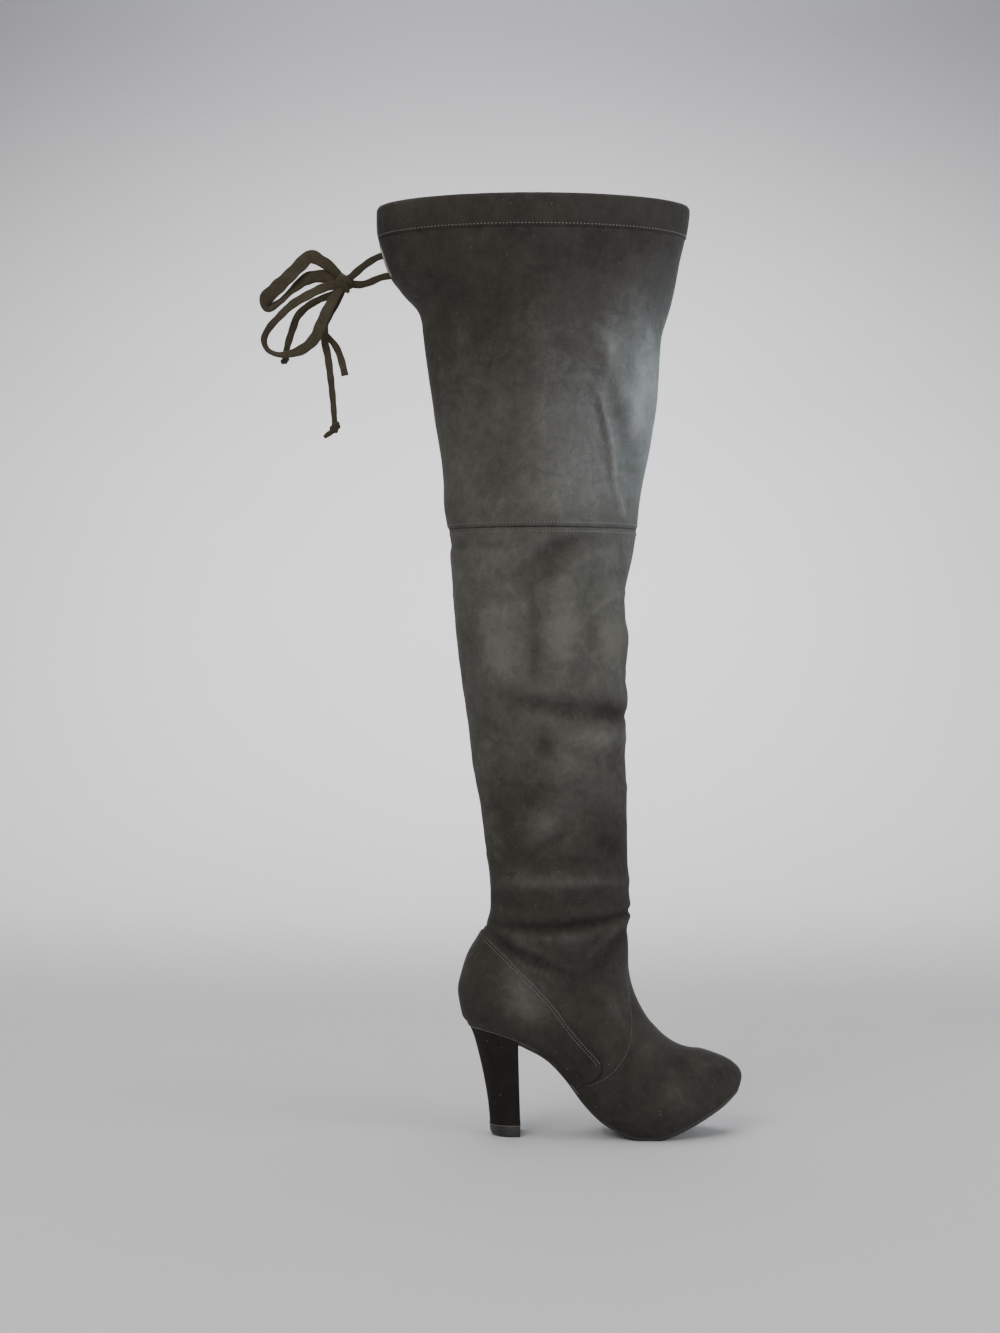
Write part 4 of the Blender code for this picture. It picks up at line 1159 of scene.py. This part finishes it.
for name, route, node in (
    ("outer_strand", OUTER_STRAND, "drawstring_outer"),
    ("inner_strand", INNER_STRAND, "drawstring_inner"),
):
    lace(name, (*route, in_knot(route[-1])), 0.0044, 0.0022, (0, 10, 20), (1.25, 1.45), "cord_suede", node)

# Upper

UPPER_CLOUD = dense_surface()
VAMP_LINES = []
for side in (-1, 1):
    seam_line, _ = on_surface(UPPER_CLOUD, even_line(VAMP_SEAM, 0.003), side)
    VAMP_LINES.append(softened(seam_line, 3))


def inside_counter(points):
    """1 under the counter, 0 elsewhere, from the side view of its edge."""
    top = np.interp(points[:, 0], [p[0] for p in COUNTER_EDGE[:11]], [p[1] for p in COUNTER_EDGE[:11]])
    under = smooth_step(top + 0.001 - points[:, 2], 0, 0.003)
    return under * smooth_step(0.078 - points[:, 0], 0, 0.003)


def make_upper():
    """Foot and lower leg: the ribs' surface with its folds, grooved along the vamp's seam."""
    rows = even_rows(0, LAST_RING, 322)
    grid = ribs(upper_columns(rows), np.linspace(-1, 1, 141))
    mesh = welded("upper_suede", grid)
    points = points_of(mesh)
    free = 1 - inside_counter(points)
    leg = smooth_step(points[:, 2], 0.12, 0.20) * smooth_step(KNEE_HEIGHT - points[:, 2], 0.0, 0.02)
    height = folds(points) * free
    height += 0.0008 * leg * ripple(points, 0.055, 3) + 0.0004 * leg * ripple(points, 0.024, 5)
    height += 0.0007 * leg * creases(points, 0.060, 11) * creases(points, 0.110, 12)
    height += 0.0003 * (1 - leg) * free * ripple(points, 0.03, 7) * smooth_step(points[:, 2], 0.01, 0.03)
    height += 0.0004 * (1 - leg) * free * creases(points, 0.045, 13) * ripple(points, 0.05, 14)
    height -= SEAM_DEPTH * np.exp(-(((points[:, 2] - KNEE_HEIGHT) / SEAM_WIDTH) ** 2))
    edge = points[:, 2] - seat_height(points[:, 0])
    height *= smooth_step(edge, 0.001, 0.010)
    move_out(mesh, height)
    gap = np.minimum(distance_to(points, VAMP_LINES[0]), distance_to(points, VAMP_LINES[1]))
    store_looks(mesh, points, height, gap * 1000)
    obj = piece("upper_suede", mesh, [SUEDE, LINING], "suede", "upper")
    return solidify(obj, WALL * 0.9, 1)


def make_shaft():
    """Thigh: the level rings with soft folds, drawn in at the knee seam and under the casing."""
    up = np.linspace(0, 1, 112)
    hem = BOOT_HEIGHT - CASING_HEIGHT
    z = KNEE_HEIGHT + GAP / 2 + (hem - KNEE_HEIGHT - GAP) * (up - 0.02 * np.sin(2 * math.pi * up))
    mesh = welded("thigh_suede", ribs(thigh_columns(z), np.linspace(-1, 1, 181)))
    points = points_of(mesh)
    height = folds(points) + 0.0008 * ripple(points, 0.07, 9)
    height += 0.0005 * creases(points, 0.080, 15) * creases(points, 0.140, 16)
    height *= smooth_step(points[:, 2], KNEE_HEIGHT, KNEE_HEIGHT + 0.02)
    height *= smooth_step(hem - points[:, 2], 0, 0.02)
    height -= SEAM_DEPTH * np.exp(-(((points[:, 2] - KNEE_HEIGHT) / SEAM_WIDTH) ** 2))
    height -= SEAM_DEPTH / 4 * np.exp(-(((points[:, 2] - hem) / SEAM_WIDTH) ** 2))
    move_out(mesh, height)
    store_looks(mesh, points, height)
    obj = piece("thigh_suede", mesh, [SUEDE, LINING], "suede", "shaft")
    return solidify(obj, WALL, 1)


def make_casing():
    """Drawstring casing: a flat rounded oblong carried round the rim, puffed and softly gathered."""
    hem = BOOT_HEIGHT - CASING_HEIGHT - GAP
    v = np.linspace(-1, 1, 281)
    levels = np.linspace(hem, BOOT_HEIGHT, 15)
    outer = ribs(thigh_columns(levels), v)
    across = np.gradient(outer, axis=1)
    out = unit(np.stack([across[..., 1], -across[..., 0], 0 * across[..., 0]], axis=2))
    out *= np.sign((out * (outer - outer.mean(axis=1, keepdims=True))).sum(axis=2).mean())
    share = (levels - hem) / (BOOT_HEIGHT - hem)
    puff = CASING_PUFF * np.sqrt(np.clip(4 * share * (1 - share), 0, 1))
    tuck = 0.0004 * np.exp(-((share / 0.05) ** 2)) + 0.0010 * np.exp(-(((1 - share) / 0.06) ** 2))
    gather = CASING_GATHER * np.sin(140 * v + 3 * np.sin(9 * v)) * (0.35 + 0.65 * np.abs(v) ** 6)
    wave = (puff - tuck)[:, None] + gather[None, :] * np.sin(math.pi * share)[:, None]
    skin = outer + out * wave[..., None]
    back = outer - out * (CASING_WALL - tuck)[:, None, None]
    ring = np.concatenate([skin, back[::-1], skin[:1]])
    mesh = capped("collar_casing_suede", np.transpose(ring, (1, 0, 2)))
    store_looks(mesh, points_of(mesh))
    return piece("collar_casing_suede", mesh, [SUEDE], "suede", "collar_casing")


def make_counter():
    """Counter: a thin shell over the heel, its lower rim drawn in level towards the heel's middle.

    It is cut out by the side view of its edge.
    """
    rows = even_rows(*COUNTER_ROWS, 170)
    mesh = welded("counter_suede", ribs(upper_columns(rows), np.linspace(-1, 1, 141)))
    move_out(mesh, np.full(len(mesh.vertices), COUNTER_LIFT))
    points = points_of(mesh)
    inwards = np.stack([np.minimum(points[:, 0] + 0.012, 0), points[:, 1], 0 * points[:, 0]], axis=1)
    inwards /= -np.linalg.norm(inwards, axis=1)[:, None] - 1e-9
    edge = points[:, 2] - seat_height(points[:, 0])
    points += inwards * COUNTER_TUCK * smooth_step(TUCK_HEIGHT - edge, 0, TUCK_HEIGHT)[:, None]
    set_points(mesh, points)
    obj = piece("counter_suede", mesh, [SUEDE], "suede", "counter")
    solidify(obj, COUNTER_WALL, 0, 1)
    outline = even_line(COUNTER_EDGE[:11], 0.002)
    lower = even_line(COUNTER_EDGE[10:], 0.002)[1:]
    below = -0.02
    corners = [[COUNTER_EDGE[-1][0], below], [COUNTER_EDGE[0][0], below]]
    ring = np.concatenate([outline, lower, corners])
    count = len(ring)
    sides = [np.stack([ring[:, 0], np.full(count, y), ring[:, 1]], axis=1) for y in (-0.08, 0.08)]
    faces = [(i, (i + 1) % count, count + (i + 1) % count, count + i) for i in range(count)]
    faces += [tuple(range(count)), tuple(range(2 * count - 1, count - 1, -1))]
    cutter_mesh = bpy.data.meshes.new("counter_edge")
    cutter_mesh.from_pydata(np.concatenate(sides), [], faces)
    outwards(cutter_mesh)
    cutter = in_scene("counter_edge", cutter_mesh)
    cut = obj.modifiers.new("Cut", "BOOLEAN")
    cut.operation = "INTERSECT"
    cut.object = cutter
    graph = bpy.context.evaluated_depsgraph_get()
    made = bpy.data.meshes.new_from_object(obj.evaluated_get(graph))
    obj.modifiers.clear()
    obj.data = made
    bpy.data.objects.remove(cutter)
    made.shade_smooth()
    made.set_sharp_from_angle(angle=math.radians(50))
    store_looks(made, points_of(made))
    return obj


make_upper()
make_shaft()
make_casing()
make_counter()

# Sole and heel


def foot_outline(inset):
    """The lower edge's outline moved in: outer side, then inner side back, as flat points."""
    c = upper_columns(even_rows(0, LAST_OPEN_RIB, 120))
    outer = np.stack([c[:, 0], c[:, 12] - c[:, 4]], axis=1)
    inner = np.stack([c[:, 0], c[:, 12] + c[:, 5]], axis=1)
    sides = []
    for line, turn in ((outer, 1), (inner, -1)):
        run = np.gradient(line, axis=0)
        run /= np.linalg.norm(run, axis=1)[:, None] + 1e-12
        sides.append(line + inset * turn * np.stack([run[:, 1], -run[:, 0]], axis=1))
    return np.array(sides)


def cut_at_breast(sides, keep_front, place):
    """The part of the outline in front of, or behind, the heel's breast."""
    found = []
    for line in sides:
        order = np.argsort(line[:, 0])
        start, end = (place, line[:, 0].max()) if keep_front else (line[:, 0].min(), place)
        x = start + (end - start) * (1 - np.cos(np.linspace(0, math.pi, 90))) / 2
        found.append(np.stack([x, np.interp(x, line[order, 0], line[order, 1])], axis=1))
    return np.array(found)


def rounded_block(name, levels, finish, slot, replaced):
    """A solid through stacked closed outlines, capped by centre fans."""
    mesh = capped(name, np.array([np.concatenate([ring, ring[:1]]) for ring in levels]))
    piece(name, mesh, [finish], slot, *replaced)
    mesh.set_sharp_from_angle(angle=math.radians(40))


def grown(ring, out):
    """A flat outline with each point moved away from the outline's middle."""
    return ring + unit(ring - ring.mean(axis=0)) * out


def softened_ring(ring, window, count=240):
    """A closed flat outline at an even spacing, its corners rounded by a moving mean."""
    closed = np.concatenate([ring, ring[:1]])
    along = along_of(closed)
    at = np.linspace(0, along[-1], count, endpoint=False)
    even = np.stack([np.interp(at, along, closed[:, k]) for k in range(closed.shape[1])], axis=1)
    reach = max(1, round(window / (along[-1] / count)))
    total = sum(np.roll(even, k, axis=0) for k in range(-reach, reach + 1))
    return total / (2 * reach + 1)


# Section of the sole's edge, from the ground up: millimetres below the upper, millimetres in from its edge
SOLE_EDGE = ((3.3, 1.9), (3.25, 1.4), (2.9, 1.05), (2.0, 0.9), (0.9, 0.9), (0.3, 1.0), (0.3, 1.5))

# Section of the top lift from the floor up
LIFT_LEVELS = (
    # share of the height, share of the worn corner, drawn in all round
    (0.00, 1.00, 0.0006),
    (0.02, 0.80, 0.0002),
    (0.08, 0.58, 0.0),
    (0.16, 0.36, 0.0),
    (0.28, 0.18, 0.0),
    (0.42, 0.06, 0.0),
    (0.60, 0.00, 0.0),
    (0.93, 0.00, 0.0),
    (0.97, 0.00, 0.0003),
    (1.00, 0.00, 0.0007),
)


def make_outsole():
    """Thin rubber sole: the foot's outline in front of the heel, with rounded edges."""
    levels = []
    for drop, inset in SOLE_EDGE:
        sides = cut_at_breast(foot_outline(inset * 0.001), True, HEEL_BREAST + GAP)
        ring = np.concatenate([sides[0], sides[1][::-1]])
        height = seat_height(ring[:, 0]) - drop * 0.001
        levels.append(np.column_stack([ring, height]))
    grid = np.array(levels)
    count = grid.shape[1] // 2
    mesh = welded("outsole_rubber", np.concatenate([grid, grid[:, :1]], axis=1))
    form = bmesh.new()
    form.from_mesh(mesh)
    for ring in (grid[0], grid[-1]):
        strips = np.stack([ring[:count], ring[::-1][:count]], axis=1)
        cap = bpy.data.meshes.new("cap")
        index = np.arange(2 * count).reshape(count, 2)
        quads = np.stack([index[:-1, 0], index[:-1, 1], index[1:, 1], index[1:, 0]], axis=1)
        cap.from_pydata(strips.reshape(-1, 3), [], quads)
        form.from_mesh(cap)
    bmesh.ops.remove_doubles(form, verts=form.verts[:], dist=MERGE)
    bmesh.ops.recalc_face_normals(form, faces=form.faces[:])
    form.to_mesh(mesh)
    form.free()
    piece("outsole_rubber", mesh, [SOLE_RUBBER], "rubber", "outsole")
    mesh.set_sharp_from_angle(angle=math.radians(40))


def heel_outline(down):
    """The heel's outline at a share of the way from the seat down to the lift, as flat points."""
    seat = cut_at_breast(foot_outline(HEEL_INSET), False, HEEL_BREAST)
    back = seat[..., 0].min()
    front = seat[..., 0].max()
    curve = 1 - (1 - down) ** 1.6
    new_back = back + (TIP_BACK - back) * curve
    new_front = front + (TIP_FRONT - front) * down
    wide = 1 + (TIP_WIDTH / (seat[1, :, 1].max() - seat[0, :, 1].min()) - 1) * curve
    x = new_back + (seat[..., 0] - back) / (front - back) * (new_front - new_back)
    sides = np.stack([x, seat[..., 1] * wide], axis=2)
    return np.concatenate([sides[0], sides[1][::-1]])


def make_heel():
    """Covered block heel: the tapering outline with rounded corners, and a soft crease under the seat."""
    levels = []
    for down in np.linspace(1, 0, 40):
        ring = heel_outline(down)
        top = seat_height(ring[:, 0]) + GAP
        height = LIFT_HEIGHT + (top - LIFT_HEIGHT) * (1 - down)
        ring = grown(ring, HEEL_FLARE * math.exp(-((down / 0.07) ** 2)))
        levels.append(softened_ring(np.column_stack([ring, height]), 0.0012))
    rounded_block("heel_suede", levels, HEEL_SUEDE, "dark_suede", ("heel_block",))


def make_lift():
    """Rubber top lift: the heel's lowest outline, its back corner worn round."""
    tip = heel_outline(1.0)
    front = tip[:, 0].max()
    length = front - tip[:, 0].min()
    levels = []
    for height, inset, shrink in LIFT_LEVELS:
        flat = tip.copy()
        flat[:, 0] = front + (flat[:, 0] - front) * (1 - inset * LIFT_ROUNDING / length)
        flat = grown(flat, -shrink)
        ring = np.column_stack([flat, np.full(len(flat), height * (LIFT_HEIGHT - GAP))])
        levels.append(softened_ring(ring, 0.0009))
    rounded_block("top_lift_rubber", levels, LIFT_RUBBER, "rubber", ("top_lift",))


def feather_lines():
    """Turned edge of the upper: a fine strand along its lower rim on both sides, from heel to arch."""
    for line, name in zip(foot_outline(0.0004), ("feather_line_outer", "feather_line_inner")):
        line = line[(line[:, 0] > TURNED_EDGE_BACK) & (line[:, 0] < TURNED_EDGE_FRONT)]
        route = np.column_stack([line, seat_height(line[:, 0]) + 0.0003])
        strand, _ = lace(name, route, 0.0011, 0.0009, (0, 0), (1, 1), "suede")
        strand.data.materials[0] = EDGE_AND_HIGHLIGHT_THREAD


def lift_highlight_ring():
    """Painted highlight: a pale ring where the top lift's upper edge catches the light, at the seam between
    heel cover and top lift; the heel's lowest outline, a hair wider.
    """
    tip = heel_outline(1.0)
    levels = []
    for rise, out in ((-0.0004, 0.0), (-0.0002, 0.0004), (0.0002, 0.0004), (0.0004, 0.0)):
        ring = np.column_stack([grown(tip, out), np.full(len(tip), LIFT_HEIGHT + rise)])
        levels.append(softened_ring(ring, 0.0009))
    rounded_block("top_lift_highlight_rim", levels, EDGE_AND_HIGHLIGHT_THREAD, "rubber", ())


make_outsole()
make_heel()
make_lift()
feather_lines()
lift_highlight_ring()

# Stitches


def stitch_rows(name, places, runs, normals, length, thick, finish):
    """Many short stitches in one mesh: at each place a small capsule of 6 by 6 faces along its run."""
    run = unit(runs)
    up = unit(normals - run * (normals * run).sum(axis=1)[:, None])
    side = np.cross(run, up)
    along = np.array([-1.0, -0.86, -0.4, 0.4, 0.86, 1.0])
    round_off = np.array([0.02, 0.6, 1.0, 1.0, 0.6, 0.02])
    around = np.linspace(0, 2 * math.pi, 7)[:-1]
    arch = 0.35 * (1 - along**2) * thick
    sideways = np.cos(around)[None, :] * round_off[:, None] * thick / 2
    upwards = np.sin(around)[None, :] * round_off[:, None] * thick / 2 + arch[:, None]
    ring = (
        places[:, None, None]
        + run[:, None, None] * (along * length / 2)[None, :, None, None]
        + side[:, None, None] * sideways[None, :, :, None]
        + up[:, None, None] * upwards[None, :, :, None]
    )
    count = len(places)
    index = np.arange(count * 36).reshape(count, 6, 6)
    turned = np.roll(index, -1, axis=2)
    quads = np.stack([index[:, :-1], turned[:, :-1], turned[:, 1:], index[:, 1:]], axis=3).reshape(-1, 4)
    ends = np.concatenate([index[:, 0, ::-1], index[:, -1]]).reshape(-1, 6)
    mesh = bpy.data.meshes.new(name)
    mesh.from_pydata(ring.reshape(-1, 3), [], [*quads.tolist(), *ends.tolist()])
    outwards(mesh)
    return piece(name, mesh, [finish], "suede")


def along_line(line, normals, pitch):
    """Places, runs and normals at an even pitch along a line on a surface."""
    along = along_of(line)
    count = max(3, int(along[-1] / pitch))
    at = (np.arange(count) + 0.5) * along[-1] / count
    columns = np.column_stack([line, normals]).T
    both = np.stack([np.interp(at, along, column) for column in columns], axis=1)
    return both[:, :3], np.gradient(both[:, :3], axis=0), both[:, 3:]


def level_row(name, height, out, pitch, length, thick):
    """A row of stitches round the leg at one height."""
    z = np.array([height])
    v = np.linspace(-0.995, 0.995, 900)
    if height > KNEE_HEIGHT:
        ring = ribs(thigh_columns(z), v)[0]
    else:
        low = ribs(upper_columns(np.linspace(FIRST_LEVEL_RING, LAST_RING, 400)), v)
        ring = low[np.abs(low[:, 0, 2] - height).argmin()]
    across = np.gradient(ring, axis=0)
    normal = unit(np.stack([-across[:, 1], across[:, 0], 0 * across[:, 0]], axis=1))
    normal *= np.sign((normal * (ring - ring.mean(axis=0))).sum())
    places, runs, normals = along_line(ring + normal * out, normal, pitch)
    return stitch_rows(name, places, runs, normals, length, thick, THREAD)


SEWN_ROUNDS = (
    # name, height, out, pitch, length, thick
    ("knee_stitches_upper", KNEE_HEIGHT + 0.0036, 0.0001, 0.0027, 0.0012, 0.0007),
    ("knee_stitches_lower", KNEE_HEIGHT - 0.0036, 0.0001, 0.0027, 0.0012, 0.0007),
    ("hem_stitches", BOOT_HEIGHT - CASING_HEIGHT + 0.0024, 0.0005, 0.0029, 0.0016, 0.0008),
)
for sewn_round in SEWN_ROUNDS:
    level_row(*sewn_round)


def line_stitches(name, side_view, sides, out, pitch, length, thick, shift):
    """Stitches along a line drawn in the side view, on the named sides of the boot, moved across by shift."""
    places, runs, normals = [], [], []
    for side in sides:
        line = np.array(even_line(side_view, 0.002))
        way = unit(np.gradient(line, axis=0))
        line = line + shift * np.stack([-way[:, 1], way[:, 0]], axis=1)
        on, normal = on_surface(UPPER_CLOUD, line, side)
        on = softened(on, 3)
        a, b, c = along_line(on + normal * out, softened(normal, 3), pitch)
        places.append(a)
        runs.append(b)
        normals.append(c)
    places, runs, normals = (np.concatenate(rows) for rows in (places, runs, normals))
    return stitch_rows(name, places, runs, normals, length, thick, THREAD)


SEWN_LINES = (
    # name, line in the side view, sides, out, pitch, length, thick, shift
    ("vamp_stitches", VAMP_SEAM[1:-1], (-1, 1), 0.0001, 0.0021, 0.0014, 0.0005, 0.0),
    ("counter_stitches_outer", COUNTER_EDGE[1:11], (-1, 1), 0.0018, 0.0021, 0.0012, 0.0007, -0.0012),
    ("counter_stitches_inner", COUNTER_EDGE[1:11], (-1, 1), 0.0018, 0.0021, 0.0012, 0.0007, -0.0036),
    ("placket_stitches_back", PLACKET, (1,), 0.0002, 0.0024, 0.0014, 0.0006, -0.0028),
    ("placket_stitches_front", PLACKET, (1,), 0.0002, 0.0024, 0.0014, 0.0006, 0.0028),
)
for sewn_line in SEWN_LINES:
    line_stitches(*sewn_line)


def bar_tacks():
    """Zigzag of short pale stitches down both edges of the slit."""
    places, runs, normals = [], [], []
    for side in (-1, 1):
        z = np.linspace(BOOT_HEIGHT - 0.0290, BOOT_HEIGHT - SLIT_DEPTH + 0.008, 34)
        ring = ribs(thigh_columns(z), [side * 0.975, side * 0.955])
        out = unit(ring[:, 1] - ring[:, 0])
        normal = np.cross(out, [0, 0, side])
        sway = 0.0009 * (-1) ** np.arange(len(z))
        places.append(ring[:, 0] + out * sway[:, None] + normal * 0.0003)
        runs.append(out + np.array([0, 0, 0.9]) * ((-1) ** np.arange(len(z)))[:, None])
        normals.append(normal)
    stitch_rows(
        "slit_bar_tacks", np.concatenate(places), np.concatenate(runs), np.concatenate(normals),
        0.0026, 0.0008, PALE_THREAD,
    )


bar_tacks()

# Carried over solids that hardly show

for node_name, finish in (("platform", HEEL_SUEDE), ("insole", LINING)):
    obj = NODES[node_name]
    obj.data.materials.clear()
    obj.data.materials.append(finish)

# Studio: a pale floor that sweeps up into a pale wall, and soft lights


def make_sweep():
    """Floor and wall as one sweep: back along the floor, a quarter turn, and up, drawn out sideways.

    The paper's colour is painted darker up the wall: painted shade, as less light reaches the upper wall.
    """
    floor_back = 1.6
    turn = 0.9
    angle = np.linspace(0, math.pi / 2, 24)
    y = np.concatenate([[-4.0, -1.0], floor_back + turn * np.sin(angle), [floor_back + turn]])
    z = np.concatenate([[0.0, 0.0], turn * (1 - np.cos(angle)), [4.5]])
    x = np.linspace(-5, 5, 5)
    grid = np.stack(np.broadcast_arrays(x[None, :], y[:, None], z[:, None]), axis=2)
    mesh = welded("studio_sweep", grid)
    found, tree, main, place = shader("studio_paper", 0.75, 0.3)
    cloud = noise(tree, place, 1.2, 2, 0.5)
    split = tree.nodes.new("ShaderNodeSeparateXYZ")
    tree.links.new(place, split.inputs["Vector"])
    light = fit(tree, cloud, 0.3, 0.7, -0.03, 0.03)
    # Painted shade: the paper darker up the wall
    light = join(tree, "ADD", light, fit(tree, split.outputs["Z"], 0.75, 1.7, 1.0, 0.0, True))
    tone = ramp(tree, light, (0.0, (0.22, 0.22, 0.235)), (1.0, (0.64, 0.64, 0.65)))
    tree.links.new(tone, main.inputs["Base Color"])
    mesh.materials.append(found)
    mesh.shade_smooth()
    in_scene("studio_sweep", mesh)


def soft_light(name, place, target, width, height, power, colour, spread):
    """A soft box that looks at a point, its beam held to a spread in degrees."""
    data = bpy.data.lights.new(name, "AREA")
    data.shape = "RECTANGLE"
    data.size = width
    data.size_y = height
    data.energy = power
    data.color = colour
    data.spread = math.radians(spread)
    obj = in_scene(name, data)
    obj.location = place
    obj.rotation_euler = (Vector(target) - Vector(place)).to_track_quat("-Z", "Y").to_euler()


LIGHTS = (
    # name, place, target, width, height, power, colour, spread
    ("key", (-1.3, -2.2, 2.2), (0, 0, 0.35), 1.6, 1.6, 46, (1.0, 0.97, 0.92), 180),
    ("fill", (2.3, -1.1, 0.9), (0, 0, 0.4), 1.4, 1.6, 30, (0.94, 0.97, 1.0), 180),
    ("window", (1.6, -0.22, 0.82), (0.105, -0.02, 0.600), 0.14, 0.14, 0.23, (0.64, 0.80, 1.0), 9),
    ("overhead", (0.0, 0.4, 2.8), (0, 0.2, 0), 2.4, 2.4, 42, (1, 1, 1), 180),
    ("backdrop", (0.0, 1.3, 2.5), (0, 2.5, 0.55), 1.6, 0.3, 24, (1, 1, 1), 90),
)
make_sweep()
for light in LIGHTS:
    soft_light(*light)

world = bpy.data.worlds.new("studio")
bpy.context.scene.world = world
world.use_nodes = True
world.node_tree.nodes["Background"].inputs["Color"].default_value = (0.80, 0.81, 0.83, 1)
world.node_tree.nodes["Background"].inputs["Strength"].default_value = 0.45
